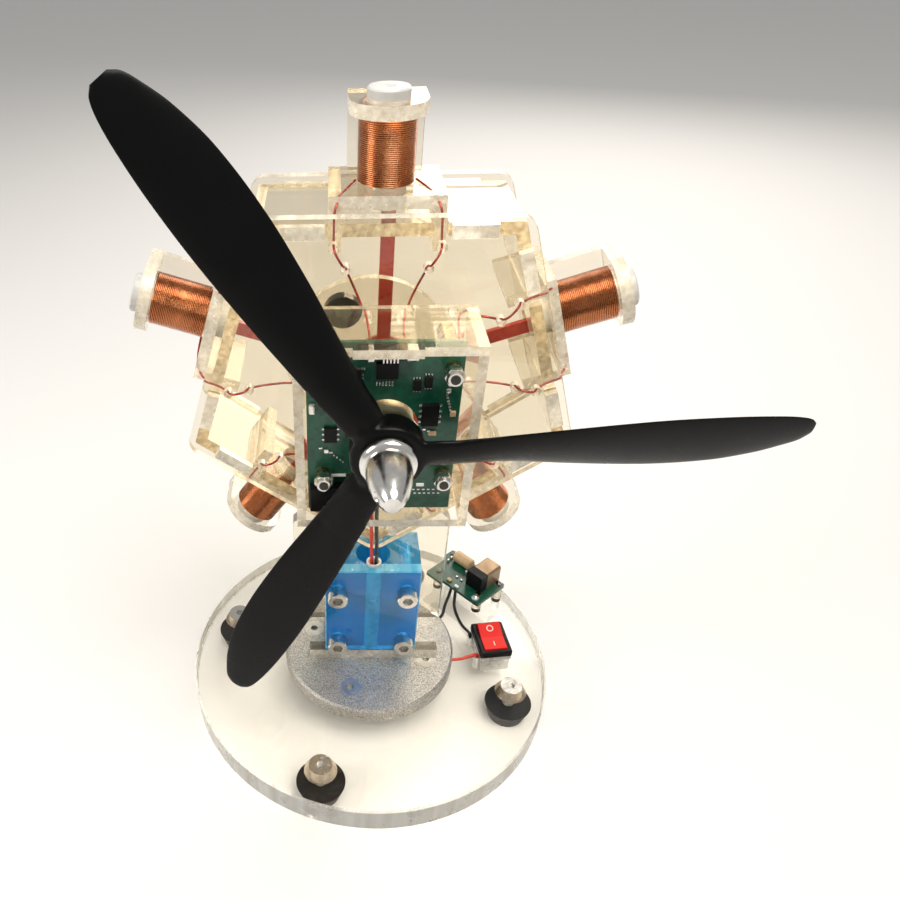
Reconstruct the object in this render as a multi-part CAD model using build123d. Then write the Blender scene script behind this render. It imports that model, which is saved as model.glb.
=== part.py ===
"""Solenoid radial motor for demonstrations: five coils in a star pull steel plungers that turn a crank
and a three-bladed propeller. The case stands on a post that is clamped to a round base.

Frame: millimetres, Z up, X to the right, Y to the rear. The origin is the centre of the base, on the
surface that the feet stand on. The shaft runs along Y, and the propeller faces -Y.
"""

from build123d import *
import math
import os

# ---------------------------------------------------------------- driving dimensions
# Base and feet
BASE_RADIUS = 81.0
BASE_THICKNESS = 13.0
BASE_CHAMFER = 0.8
FOOT_HEIGHT = 8.0
FOOT_RADIUS = 10.3
FOOT_TOE_RADIUS = 8.0
FOOT_INSET = 15.0
FOOT_COUNT = 4
FOOT_START_ANGLE = -19.4
FOOT_POCKET_DEPTH = 5.0
CUP_RADIUS = 6.85
CUP_FLAT_RADIUS = 4.8
CUP_HEIGHT = 4.0

# Fasteners
M5 = 5.0
M5_HEAD_RADIUS = 4.25
M5_HEAD_HEIGHT = 5.0
M5_FLAT_HEAD_RADIUS = 4.6
M5_FLAT_HEAD_HEIGHT = 2.6
M5_NUT_FLATS = 8.0
M5_NUT_HEIGHT = 4.0
M4 = 4.0
M4_FLAT_HEAD_RADIUS = 3.7
M4_FLAT_HEAD_HEIGHT = 2.2
M3 = 3.0
M3_NUT_FLATS = 5.5
M3_NUT_HEIGHT = 4.0
HEX_KEY_M5 = 4.0
HEX_KEY_DEPTH = 2.8
NUT_POCKET_STEP = 0.7
HOLE_CLEARANCE = 0.15
THREAD_CLEARANCE = 0.02

# Mounting disc
DISC_RADIUS = 38.5
DISC_THICKNESS = 7.0
DISC_EDGE = 1.0
DISC_SCREW_RADIUS = 27.0
DISC_SCREW_ANGLE = -20.0
DISC_SCREW_LENGTH = 16.0
DISC_GROOVE_RUNOUT = 4.0
DISC_GROOVE_HEADROOM = 0.8

# Clamp block and post
CLAMP_WIDTH = 40.0
CLAMP_HEIGHT = 54.0
CLAMP_PLATE = 5.0
CLAMP_CORE_DEPTH = 20.0
CLAMP_FRONT_Y = -9.0
CLAMP_BORE_RADIUS = 7.25
CLAMP_BORE_X = 0.3
CLAMP_BORE_Y = 2.7
CLAMP_BOLT_INSET = 5.5
CLAMP_BOLT_LOW = 12.0
CLAMP_BOLT_HIGH = 41.5
CLAMP_BOLT_END = 1.0
CLAMP_SCREW_BACK = 14.0
CLAMP_SCREW_LENGTH = 22.0
CLAMP_SCREW_HOLE = 24.0
FOOT_STRIP_LEFT = -27.0
FOOT_STRIP_RIGHT = 30.0
FOOT_STRIP_HEIGHT = 5.6
POST_WIDTH = 67.5
POST_THICKNESS = 6.0
POST_RISE = 13.5
POST_JAW = 19.5
POST_JAW_DROP = 8.0
SLEEVE_RADIUS = 3.1
SLEEVE_BORE = 2.2
SLEEVE_LENGTH = 24.0
SLEEVE_STAND = 1.0
SLEEVE_X = 0.4
SLEEVE_Y = -3.4

# Crankcase
CASE_APOTHEM = 57.0
CASE_WALL = 4.0
CASE_PLATE = 4.0
CASE_DEPTH = 37.0
CASE_LIP = 2.4
CASE_CORNER = 6.0
CASE_FRONT_Y = -7.5
TAB_LENGTH = 14.0
TAB_INSET = 12.5
WALL_HOLE_STEP = 0.6
SLOT_CLEARANCE = 0.1
CYLINDERS = 5
TOP_ANGLE = 90.0

# Coils
TUBE_RADIUS = 6.6
TUBE_BORE = 5.3
TUBE_LENGTH = 33.0
TUBE_END = 3.6
TUBE_DIMPLE = 2.2
COIL_RADIUS = 9.0
COIL_LENGTH = 19.6
HOLDER_WIDTH = 36.0
HOLDER_DEPTH = 30.0
HOLDER_PLATE = 4.0
CHEEK_THICKNESS = 4.0
CHEEK_REACH = 12.4
CAP_WIDTH = 24.0
HOLDER_STRIP = 2.8
LEAD_HOLE = 1.6
LEAD_HOLE_OUT = 6.7
LEAD_HOLE_IN = 13.3
LEAD_HOLE_OUT_V = 16.5
LEAD_HOLE_IN_V = 12.9
COIL_WIRE = 0.8

# Plungers, rods and crank
PLUNGER_CLEARANCE = 0.07
PLUNGER_LENGTH = 20.0
PLUNGER_START = 1.5
FORK_SLOT = 2.6
FORK_DEPTH = 12.0
WRIST_OUT = 5.0
WRIST_PIN = 2.0
ROD_WIDTH = 4.7
ROD_THICKNESS = 2.0
ROD_HUB_RADIUS = 11.0
ROD_HUB_PLATE = 1.2
LINK_PIN_RADIUS = 8.0
LINK_PIN = 2.0
CRANK_THROW = 2.5
CRANK_ANGLE = -58.0
CRANK_PIN = 3.0
CRANK_WEB_RADIUS = 6.5
CRANK_WEB = 3.0
CRANK_CLIP_STEP = 1.2
CRANK_CLIP = 0.6
ROD_HUB_SLEEVE = 1.2
ROD_HUB_GAP = 0.4
SHAFT = 5.0
SHAFT_SHOULDER_STEP = 1.5
SHAFT_SHOULDER_GAP = 0.3
DRIVER_STEP = 3.0
DRIVER_THICKNESS = 2.0
RUN_CLEARANCE = 0.03
DISC_WEIGHT_RADIUS = 29.0
DISC_WEIGHT_OFFSET = 8.0
DISC_WEIGHT_THICKNESS = 3.0
WEIGHT_RADIUS = 6.5
WEIGHT_THICKNESS = 4.0
WEIGHT_PLACE = 28.0
WEIGHT_ANGLE = 118.4
WEIGHT_SCREW_HEAD_RADIUS = 2.6
WEIGHT_SCREW_HEAD = 1.2

# Bearing tube
BEARING_RADIUS = 5.5
BEARING_WIDTH = 4.0
BEARING_TUBE_RADIUS = 9.5
BEARING_TUBE_FRONT_Y = -34.0
BEARING_FLANGE_RADIUS = 13.0
BEARING_FLANGE = 3.0
TURNED_GROOVE_RADII = [6.6, 8.1]
TURNED_GROOVE = 0.5

# Propeller and spinner
PROP_TIP_RADIUS = 126.0
PROP_BLADES = 3
PROP_START_ANGLE = 4.1
PROP_HUB_RADIUS = 12.0
PROP_HUB_LENGTH = 10.0
PROP_PLANE_Y = -42.7
PROP_SWEEP = 0.8
# Blade sections: share of the tip radius, chord, thickness, pitch and lag of the middle line
BLADE_STATIONS = [
    (0.05, 9.0, 3.6, 20.0, 0.0),
    (0.11, 14.6, 5.6, 30.0, 0.1),
    (0.18, 15.2, 5.2, 32.0, 0.3),
    (0.30, 17.0, 3.8, 28.5, 0.8),
    (0.46, 20.2, 3.0, 23.5, 1.7),
    (0.64, 22.2, 2.4, 19.5, 2.4),
    (0.79, 21.0, 2.0, 18.0, 2.5),
    (0.89, 17.4, 1.6, 17.5, 1.9),
    (0.95, 13.4, 1.3, 17.5, 1.2),
    (0.985, 9.6, 1.0, 17.5, 0.9),
    (1.0, 5.2, 0.7, 17.5, 0.7),
]
COLLAR_RADIUS = 9.0
COLLAR_THICKNESS = 3.4
SPINNER_RADIUS = 7.2
SPINNER_TIP_RADIUS = 3.0
SPINNER_LENGTH = 18.0
SPINNER_HOLE = 1.5
SPINNER_HOLE_SHARE = 0.79
SPINNER_THREAD_SHARE = 0.62
SHAFT_TIP_SHARE = 0.55

# Control board and its box
BOX_HALF_WIDTH = 29.0
BOX_TOP = 32.0
BOX_BOTTOM = -36.5
BOX_DEPTH = 28.0
BOX_WALL = 3.0
BOX_TAB_LEFT = -11.0
BOX_TAB_RIGHT = 10.0
BOX_TAB_REACH = 1.5
BOARD_LEFT = -25.2
BOARD_RIGHT = 23.4
BOARD_TOP = 28.7
BOARD_BOTTOM = -33.2
BOARD_THICKNESS = 1.6
BOARD_HOLE_PLACE = 19.8
BOARD_HOLE_RISE = 1.8
BOARD_SHAFT_CLEARANCE = 1.2
SPACER_LENGTH = 20.0
SPACER_FLATS = 5.5
NUT_COLLAR_RADIUS = 2.6
NUT_COLLAR_LENGTH = 3.4

# Switch
BEZEL_WIDTH = 14.8
BEZEL_LENGTH = 19.4
BEZEL_HEIGHT = 3.0
SWITCH_BODY_WIDTH = 13.2
SWITCH_BODY_LENGTH = 17.8
SWITCH_STAND = 2.5
SWITCH_BODY_DEPTH = 14.0
SWITCH_TURN = 7.0
SWITCH_SHIFT = -2.25
SWITCH_Y = 5.0
ROCKER_WIDTH = 10.4
ROCKER_RADIUS = 7.8
ROCKER_GAP = 0.2
ROCKER_TILT = 8.0
ROCKER_PIVOT_DROP = 1.4
ROCKER_PIN = 1.0
ROCKER_WELL_DROP = 5.8
SWITCH_FLANGE = 0.4
TERMINAL_PLACE = 4.5
TERMINAL_WIDTH = 4.8
TERMINAL_THICKNESS = 0.8
TERMINAL_LENGTH = 5.0
TERMINAL_SIDE = 3.4

# Power board
POWER_BOARD_LENGTH = 34.0
POWER_BOARD_WIDTH = 20.5
POWER_BOARD_THICKNESS = 1.6
POWER_BOARD_LIFT = 8.6
POWER_BOARD_INSET = 17.1
POWER_BOARD_ANGLE = 39.7
POWER_BOARD_TURN = 41.3
POWER_POST_RADIUS = 2.2
POWER_PEG_RADIUS = 1.4
POWER_PEG_HEIGHT = 1.2
POWER_HOLE_INNER_X = -5.0
POWER_HOLE_INNER_Y = 12.9
POWER_HOLE_OUTER_X = 7.8
POWER_HOLE_OUTER_Y = 14.8
JACK_SIZE = 9.2
JACK_PLACE = 8.8
JACK_OVERHANG = 0.4
JACK_SHELL_LENGTH = 9.6
JACK_BODY_LENGTH = 4.6
JACK_BORE = 3.2
JACK_BORE_DEPTH = 8.0
JACK_PIN = 1.0
CAPACITOR_RADIUS = 2.9
CAPACITOR_LENGTH = 10.4
CAPACITOR_X = 5.8
CAPACITOR_Y = 6.2

# Leads
MOTOR_LEAD = 1.5
LEAD_NOTCH = 1.8
LEAD_PASSAGE = 6.0
RED_EXIT_ANGLE = -2.0
BLACK_EXIT_ANGLE = 35.0
SWITCH_LEAD_FRONT = -5.6
SWITCH_LEAD_BACK = 6.6
BOX_LEAD_HOLE = (-1.6, -18.0)
BOX_LEAD_HOLE_RADIUS = 3.0
# Where the coil leads pass through the front plate, across and up from the shaft axis
LEAD_ENTRIES = [
    (-5.2, 25.4),
    (5.2, 25.4),
    (21.8, 27.6),
    (22.0, 3.2),
    (22.0, -28.2),
    (11.0, -27.6),
    (-11.0, -27.6),
    (-22.0, -28.2),
    (-22.0, 3.2),
    (-21.8, 27.6),
]

# ---------------------------------------------------------------- derived places
BASE_TOP = FOOT_HEIGHT + BASE_THICKNESS
DISC_TOP = BASE_TOP + DISC_THICKNESS
CLAMP_TOP = DISC_TOP + CLAMP_HEIGHT
CORE_FRONT_Y = CLAMP_FRONT_Y + CLAMP_PLATE
POST_FRONT_Y = CORE_FRONT_Y + CLAMP_CORE_DEPTH
POST_BACK_Y = POST_FRONT_Y + POST_THICKNESS
STRIP_TOP = DISC_TOP + FOOT_STRIP_HEIGHT
HALF_SIDE_ANGLE = 180.0 / CYLINDERS
SADDLE_Z = CLAMP_TOP + POST_RISE
AXIS_Z = SADDLE_Z + CASE_APOTHEM / math.cos(math.radians(HALF_SIDE_ANGLE))
WALL_FRONT_Y = CASE_FRONT_Y + CASE_PLATE
WALL_BACK_Y = WALL_FRONT_Y + CASE_DEPTH
MID_Y = (WALL_FRONT_Y + WALL_BACK_Y) / 2
WALL_HALF_INNER = (CASE_APOTHEM - CASE_WALL) * math.tan(math.radians(HALF_SIDE_ANGLE))
TAB_V = WALL_HALF_INNER - TAB_INSET
HOLDER_U = CASE_APOTHEM + CASE_LIP
COIL_U = HOLDER_U + HOLDER_PLATE
CAP_U = COIL_U + COIL_LENGTH
CHEEK_V = HOLDER_WIDTH / 2 - CHEEK_THICKNESS
TUBE_OUT_U = CASE_APOTHEM + TUBE_LENGTH
PLUNGER_U = CASE_APOTHEM + PLUNGER_START
PLUNGER_RADIUS = TUBE_BORE - PLUNGER_CLEARANCE
WRIST_U = CASE_APOTHEM + WRIST_OUT
CYLINDER_ANGLES = [TOP_ANGLE - k * 360.0 / CYLINDERS for k in range(CYLINDERS)]
ROD_FRONT_Y = MID_Y - ROD_THICKNESS / 2
ROD_BACK_Y = MID_Y + ROD_THICKNESS / 2
WEB_BACK_Y = ROD_FRONT_Y - ROD_HUB_PLATE - ROD_HUB_GAP
WEB_FRONT_Y = WEB_BACK_Y - CRANK_WEB
WEIGHT_DISC_FRONT_Y = WEB_FRONT_Y - DISC_WEIGHT_THICKNESS
HUB_FRONT_Y = PROP_PLANE_Y - PROP_HUB_LENGTH / 2
HUB_BACK_Y = PROP_PLANE_Y + PROP_HUB_LENGTH / 2
COLLAR_FRONT_Y = HUB_FRONT_Y - COLLAR_THICKNESS
SPINNER_TIP_Y = COLLAR_FRONT_Y - SPINNER_LENGTH
BOARD_BACK_Y = CASE_FRONT_Y - SPACER_LENGTH
BOARD_FRONT_Y = BOARD_BACK_Y - BOARD_THICKNESS
BOX_FRONT_Y = CASE_FRONT_Y - BOX_DEPTH
SWITCH_X = (DISC_RADIUS + BASE_RADIUS) / 2 + SWITCH_SHIFT
BODY_TOP = BASE_TOP + SWITCH_STAND
BEZEL_TOP = BODY_TOP + BEZEL_HEIGHT
PIVOT_Z = BEZEL_TOP - ROCKER_PIVOT_DROP
POWER_RADIUS = BASE_RADIUS - POWER_BOARD_INSET
POWER_X = POWER_RADIUS * math.cos(math.radians(POWER_BOARD_ANGLE))
POWER_Y = POWER_RADIUS * math.sin(math.radians(POWER_BOARD_ANGLE))
POWER_BOTTOM = BASE_TOP + POWER_BOARD_LIFT
POWER_TOP = POWER_BOTTOM + POWER_BOARD_THICKNESS


# ---------------------------------------------------------------- helpers
def block(x0, x1, y0, y1, z0, z1):
    """Box between two corners."""
    centre = Pos((x0 + x1) / 2, (y0 + y1) / 2, (z0 + z1) / 2)
    return centre * Box(x1 - x0, y1 - y0, z1 - z0)


def rod_z(radius, z0, z1, x=0.0, y=0.0):
    """Round bar along Z."""
    return Pos(x, y, (z0 + z1) / 2) * Cylinder(radius, z1 - z0)


def rod_y(radius, y0, y1, x=0.0, z=0.0):
    """Round bar along Y."""
    return Pos(x, (y0 + y1) / 2, z) * Rot(90, 0, 0) * Cylinder(radius, y1 - y0)


def cone_z(radius0, radius1, z0, z1, x=0.0, y=0.0):
    """Round taper along Z, radius0 at z0 and radius1 at z1."""
    return Pos(x, y, (z0 + z1) / 2) * Cone(radius0, radius1, z1 - z0)


def hex_z(flats, z0, z1, x=0.0, y=0.0):
    """Hexagonal bar along Z."""
    outline = RegularPolygon(flats / 2, 6, major_radius=False)
    return Pos(x, y, z0) * extrude(outline, z1 - z0)


def facing_front(shape):
    """Turn a piece made along Z so that its +Z end faces the front, -Y."""
    return Rot(90, 0, 0) * shape


def polar(radius, angle):
    """Point in a plane from its radius and angle."""
    return radius * math.cos(math.radians(angle)), radius * math.sin(math.radians(angle))


def at_cylinder(angle, shape):
    """Carry a piece from the cylinder frame (X across, Y to the rear, Z outward) to its place."""
    return Pos(0, MID_Y, AXIS_Z) * Rot(0, 90 - angle, 0) * shape


def at_switch(shape):
    """Carry a piece from the switch frame, whose Z is the real height, to its place."""
    return Pos(SWITCH_X, SWITCH_Y, 0) * Rot(0, 0, SWITCH_TURN) * shape


def at_power_board(shape):
    """Carry a piece from the power board frame, X towards the rim, to its place."""
    return Pos(POWER_X, POWER_Y, 0) * Rot(0, 0, POWER_BOARD_TURN) * shape


def flat_head_screw(top_z, length, x, y, size, head_radius, head_height):
    """Countersunk screw pointing down, with a hexagon socket."""
    head = cone_z(size / 2, head_radius, top_z - head_height, top_z, x, y)
    shank = rod_z(size / 2, top_z - length, top_z - head_height, x, y)
    socket = hex_z(size * 0.6, top_z - head_height * 0.8, top_z, x, y)
    return head + shank - socket


def outline_plate(points, y0, y1):
    """Plate in the XZ plane, cut along straight lines, from y0 back to y1."""
    plane = Plane(origin=(0, y1, 0), x_dir=(1, 0, 0), z_dir=(0, -1, 0))
    profile = make_face(Polyline(*points, close=True))
    return extrude(plane * profile, y1 - y0)


def bend_radii(points, widest, share=0.45):
    """Radius of each bend: as large as its two runs allow, up to the widest that its place allows."""
    radii = []
    for before, here, after, limit in zip(points, points[1:], points[2:], widest):
        run_in = Vector(here) - Vector(before)
        run_out = Vector(after) - Vector(here)
        turn = math.radians(run_in.get_angle(run_out))
        room = share * min(run_in.length, run_out.length) / math.tan(turn / 2)
        radii.append(min(limit, room))
    return radii


def lead(name, points, diameter, sides, widest):
    """Wire of straight runs and tangent bends through the points, many-sided in section."""
    radii = bend_radii(points, widest)
    print(name, "bend radii", [round(radius, 2) for radius in radii])
    path = FilletPolyline(*points, radius=radii)
    start = Plane(origin=path @ 0, z_dir=path % 0)
    return sweep(start * RegularPolygon(diameter / 2, sides), path=path)


def save(name, shapes):
    """Write one node from one solid or a list of separate solids."""
    solids = list(shapes) if isinstance(shapes, (list, tuple)) else [shapes]
    parts = [solid for shape in solids for solid in shape.solids()]
    export_step(parts[0] if len(parts) == 1 else Compound(children=parts), f"parts/{name}.step")


# ---------------------------------------------------------------- base, feet and disc
def foot_places():
    """Centres of the feet."""
    pitch = BASE_RADIUS - FOOT_INSET
    return [polar(pitch, FOOT_START_ANGLE + k * 360.0 / FOOT_COUNT) for k in range(FOOT_COUNT)]


def disc_screw_places():
    """Centres of the mounting disc's screws."""
    return [polar(DISC_SCREW_RADIUS, DISC_SCREW_ANGLE + k * 90.0) for k in range(4)]


def clamp_screw_places():
    """Centres of the two screws that rise through the disc into the clamp core."""
    x = CLAMP_WIDTH / 2 - CLAMP_BOLT_INSET - M5 / 2 - M4 / 2 - 0.5
    y = CORE_FRONT_Y + CLAMP_SCREW_BACK
    return [(-x, y), (x, y)]


def base_plate():
    """Thick clear disc with the foot, disc, switch and lead holes."""
    plate = rod_z(BASE_RADIUS, FOOT_HEIGHT, BASE_TOP)
    plate = chamfer(plate.edges().filter_by(GeomType.CIRCLE), BASE_CHAMFER)
    for x, y in foot_places():
        plate -= rod_z(M5 / 2 + HOLE_CLEARANCE, FOOT_HEIGHT, BASE_TOP, x, y)
    for x, y in disc_screw_places():
        plate -= rod_z(M5 / 2 + THREAD_CLEARANCE, FOOT_HEIGHT, BASE_TOP, x, y)
    half_width = SWITCH_BODY_WIDTH / 2 + SLOT_CLEARANCE
    half_length = SWITCH_BODY_LENGTH / 2 + SLOT_CLEARANCE
    opening = block(-half_width, half_width, -half_length, half_length, FOOT_HEIGHT, BASE_TOP)
    for y in (SWITCH_LEAD_FRONT, SWITCH_LEAD_BACK):
        opening += rod_z(LEAD_NOTCH, FOOT_HEIGHT, BASE_TOP, -half_width - 0.7, y)
    return plate - at_switch(opening)


def rubber_foot(x, y):
    """Tapered foot with a nut pocket in its toe."""
    foot = cone_z(FOOT_TOE_RADIUS, FOOT_RADIUS, 0, FOOT_HEIGHT, x, y)
    foot -= rod_z(M5 / 2 + HOLE_CLEARANCE, 0, FOOT_HEIGHT, x, y)
    return foot - rod_z(M5_NUT_FLATS / 2 + NUT_POCKET_STEP, 0, FOOT_POCKET_DEPTH, x, y)


def hex_nut(x, y, z0):
    """M5 nut standing on z0."""
    nut = hex_z(M5_NUT_FLATS, z0, z0 + M5_NUT_HEIGHT, x, y)
    return nut - rod_z(M5 / 2 + THREAD_CLEARANCE, z0, z0 + M5_NUT_HEIGHT, x, y)


def foot_nut(x, y):
    """Nut in the foot's pocket."""
    return hex_nut(x, y, FOOT_POCKET_DEPTH - M5_NUT_HEIGHT)


def clamp_nut(x, z):
    """Nut behind the post."""
    nut = hex_nut(0, 0, 0)
    return Pos(x, POST_BACK_Y + M5_NUT_HEIGHT, z) * facing_front(nut)


def cup_washer(x, y):
    """Turned cup washer under the foot screw's head."""
    top = BASE_TOP + CUP_HEIGHT
    washer = cone_z(CUP_RADIUS, CUP_FLAT_RADIUS, BASE_TOP, top, x, y)
    washer -= rod_z(M5 / 2 + HOLE_CLEARANCE, BASE_TOP, top, x, y)
    seat = cone_z(M5 / 2, M5_FLAT_HEAD_RADIUS, top - M5_FLAT_HEAD_HEIGHT, top, x, y)
    return washer - seat


def foot_screw(x, y):
    """Countersunk screw from the cup washer to the nut in the foot."""
    top = BASE_TOP + CUP_HEIGHT
    length = top - (FOOT_POCKET_DEPTH - M5_NUT_HEIGHT)
    return flat_head_screw(top, length, x, y, M5, M5_FLAT_HEAD_RADIUS, M5_FLAT_HEAD_HEIGHT)


def mounting_disc():
    """Cast disc with countersunk holes, a lead passage and two lead grooves in its underside."""
    disc = rod_z(DISC_RADIUS, BASE_TOP, DISC_TOP)
    disc = chamfer(disc.edges().filter_by(GeomType.CIRCLE).group_by(Axis.Z)[-1], DISC_EDGE)
    for x, y in disc_screw_places():
        disc -= rod_z(M5 / 2 + HOLE_CLEARANCE, BASE_TOP, DISC_TOP, x, y)
        disc -= cone_z(M5 / 2, M5_FLAT_HEAD_RADIUS, DISC_TOP - M5_FLAT_HEAD_HEIGHT, DISC_TOP, x, y)
    for x, y in clamp_screw_places():
        disc -= rod_z(M4 / 2 + HOLE_CLEARANCE, BASE_TOP, DISC_TOP, x, y)
        head_top = BASE_TOP + M4_FLAT_HEAD_HEIGHT
        disc -= cone_z(M4_FLAT_HEAD_RADIUS, M4 / 2, BASE_TOP, head_top, x, y)
    disc -= rod_z(LEAD_PASSAGE, BASE_TOP, DISC_TOP, SLEEVE_X, SLEEVE_Y)
    groove_top = BASE_TOP + MOTOR_LEAD + DISC_GROOVE_HEADROOM
    for angle in (RED_EXIT_ANGLE, BLACK_EXIT_ANGLE):
        groove = block(0, DISC_RADIUS + DISC_GROOVE_RUNOUT, -MOTOR_LEAD, MOTOR_LEAD, BASE_TOP, groove_top)
        disc -= Pos(SLEEVE_X, SLEEVE_Y, 0) * Rot(0, 0, angle) * groove
    return disc


def disc_screw(x, y):
    """Countersunk screw through the disc into the base."""
    return flat_head_screw(DISC_TOP, DISC_SCREW_LENGTH, x, y, M5, M5_FLAT_HEAD_RADIUS, M5_FLAT_HEAD_HEIGHT)


# ---------------------------------------------------------------- clamp and post
def clamp_bolt_places():
    """Centres of the four clamp bolts, as X and Z."""
    x = CLAMP_WIDTH / 2 - CLAMP_BOLT_INSET
    return [(sx * x, DISC_TOP + z) for sx in (-1, 1) for z in (CLAMP_BOLT_LOW, CLAMP_BOLT_HIGH)]


def bolt_holes(shape, y0, y1):
    """Cut the four clamp bolt holes."""
    for x, z in clamp_bolt_places():
        shape -= rod_y(M5 / 2 + HOLE_CLEARANCE, y0, y1, x, z)
    return shape


def sleeve_notch():
    """Round notch in the block's top for the cable sleeve."""
    return rod_z(SLEEVE_RADIUS + HOLE_CLEARANCE, DISC_TOP, CLAMP_TOP, SLEEVE_X, SLEEVE_Y)


def clamp_front_plate():
    """Front plate of the clamp block."""
    half = CLAMP_WIDTH / 2
    plate = block(-half, half, CLAMP_FRONT_Y, CORE_FRONT_Y, STRIP_TOP, CLAMP_TOP)
    plate = chamfer(plate.faces().sort_by(Axis.Y)[0].edges(), 0.5)
    return bolt_holes(plate - sleeve_notch(), CLAMP_FRONT_Y, CORE_FRONT_Y)


def clamp_core():
    """Core of the clamp block, bored from the top for a support rod."""
    half = CLAMP_WIDTH / 2
    core = block(-half, half, CORE_FRONT_Y, POST_FRONT_Y, DISC_TOP, CLAMP_TOP)
    core -= rod_z(CLAMP_BORE_RADIUS, DISC_TOP, CLAMP_TOP, CLAMP_BORE_X, CLAMP_BORE_Y)
    for x, y in clamp_screw_places():
        core -= rod_z(M4 / 2 + THREAD_CLEARANCE, DISC_TOP, DISC_TOP + CLAMP_SCREW_HOLE, x, y)
    return bolt_holes(core - sleeve_notch(), CORE_FRONT_Y, POST_FRONT_Y)


def clamp_foot_strip():
    """Clear strip that stands on the disc in front of the core and carries the front plate."""
    strip = block(FOOT_STRIP_LEFT, FOOT_STRIP_RIGHT, CLAMP_FRONT_Y, CORE_FRONT_Y, DISC_TOP, STRIP_TOP)
    return strip - sleeve_notch()


def clamp_foot_screw(x, y):
    """Countersunk screw that rises from the disc's underside into the core."""
    screw = flat_head_screw(0, CLAMP_SCREW_LENGTH, 0, 0, M4, M4_FLAT_HEAD_RADIUS, M4_FLAT_HEAD_HEIGHT)
    return Pos(x, y, BASE_TOP) * Rot(180, 0, 0) * screw


def clamp_bolt(x, z):
    """Socket-head bolt through the block and the post."""
    grip = POST_BACK_Y + M5_NUT_HEIGHT - CLAMP_FRONT_Y + CLAMP_BOLT_END
    head = Cylinder(M5_HEAD_RADIUS, M5_HEAD_HEIGHT)
    head = chamfer(head.edges().filter_by(GeomType.CIRCLE).group_by(Axis.Z)[-1], 0.4)
    bolt = Pos(0, 0, M5_HEAD_HEIGHT / 2) * head + rod_z(M5 / 2, -grip, 0)
    bolt -= hex_z(HEX_KEY_M5, M5_HEAD_HEIGHT - HEX_KEY_DEPTH, M5_HEAD_HEIGHT)
    return Pos(x, CLAMP_FRONT_Y, z) * facing_front(bolt)


def support_post():
    """Clear plate that rises from the disc and ends in a saddle for two sides of the case."""
    slope = math.radians(HALF_SIDE_ANGLE)
    half = POST_WIDTH / 2
    jaw_x = POST_JAW * math.cos(slope)
    jaw_z = SADDLE_Z + POST_JAW * math.sin(slope)
    out_x = jaw_x + POST_JAW_DROP * math.sin(slope)
    out_z = jaw_z - POST_JAW_DROP * math.cos(slope)
    shoulder_z = out_z - (half - out_x)
    right = [(half, DISC_TOP), (half, shoulder_z), (out_x, out_z), (jaw_x, jaw_z)]
    left = [(-x, z) for x, z in reversed(right)]
    post = outline_plate(right + [(0, SADDLE_Z)] + left, POST_FRONT_Y, POST_BACK_Y)
    return bolt_holes(post, POST_FRONT_Y, POST_BACK_Y)


def cable_sleeve():
    """White cable jacket, cut square at the top of the block."""
    top = CLAMP_TOP + SLEEVE_STAND
    sleeve = rod_z(SLEEVE_RADIUS, top - SLEEVE_LENGTH, top, SLEEVE_X, SLEEVE_Y)
    return sleeve - rod_z(SLEEVE_BORE, top - SLEEVE_LENGTH, top, SLEEVE_X, SLEEVE_Y)


# ---------------------------------------------------------------- crankcase
def case_outline(y0, y1):
    """Pentagon plate with rounded corners, flat side up."""
    across = 2 * (CASE_APOTHEM + CASE_LIP)
    turn = TOP_ANGLE + HALF_SIDE_ANGLE
    pentagon = RegularPolygon(across / 2, CYLINDERS, major_radius=False, rotation=turn)
    pentagon = fillet(pentagon.vertices(), CASE_CORNER)
    plane = Plane(origin=(0, y1, AXIS_Z), x_dir=(1, 0, 0), z_dir=(0, -1, 0))
    return extrude(plane * pentagon, y1 - y0)


def tab_slots(plate, y0, y1):
    """Cut the slots that the side walls' tabs sit in."""
    half = TAB_LENGTH / 2 + SLOT_CLEARANCE
    low = CASE_APOTHEM - CASE_WALL - SLOT_CLEARANCE
    high = CASE_APOTHEM + SLOT_CLEARANCE
    for angle in CYLINDER_ANGLES:
        for v in (-TAB_V, TAB_V):
            slot = block(v - half, v + half, y0 - MID_Y, y1 - MID_Y, low, high)
            plate -= at_cylinder(angle, slot)
    return plate


def lead_holes(plate):
    """Cut the two holes per coil lead, through which each lead is woven."""
    y0 = CASE_FRONT_Y - MID_Y
    y1 = WALL_FRONT_Y - MID_Y
    for angle in CYLINDER_ANGLES:
        for side in (-1, 1):
            outer = rod_y(LEAD_HOLE, y0, y1, side * LEAD_HOLE_OUT_V, CASE_APOTHEM - LEAD_HOLE_OUT)
            inner = rod_y(LEAD_HOLE, y0, y1, side * LEAD_HOLE_IN_V, CASE_APOTHEM - LEAD_HOLE_IN)
            plate -= at_cylinder(angle, outer)
            plate -= at_cylinder(angle, inner)
    for x, z in LEAD_ENTRIES:
        plate -= rod_y(LEAD_HOLE, CASE_FRONT_Y, WALL_FRONT_Y, x, AXIS_Z + z)
    return plate


def crankcase_front():
    """Front plate of the crankcase."""
    plate = tab_slots(case_outline(CASE_FRONT_Y, WALL_FRONT_Y), CASE_FRONT_Y, WALL_FRONT_Y)
    plate = lead_holes(plate)
    plate -= rod_y(BEARING_TUBE_RADIUS + THREAD_CLEARANCE, CASE_FRONT_Y, WALL_FRONT_Y, 0, AXIS_Z)
    for x, z in spacer_places():
        plate -= rod_y(M3 / 2 + THREAD_CLEARANCE, CASE_FRONT_Y, WALL_FRONT_Y, x, z)
    return plate


def crankcase_back():
    """Rear plate of the crankcase."""
    back = WALL_BACK_Y + CASE_PLATE
    return tab_slots(case_outline(WALL_BACK_Y, back), WALL_BACK_Y, back)


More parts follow.
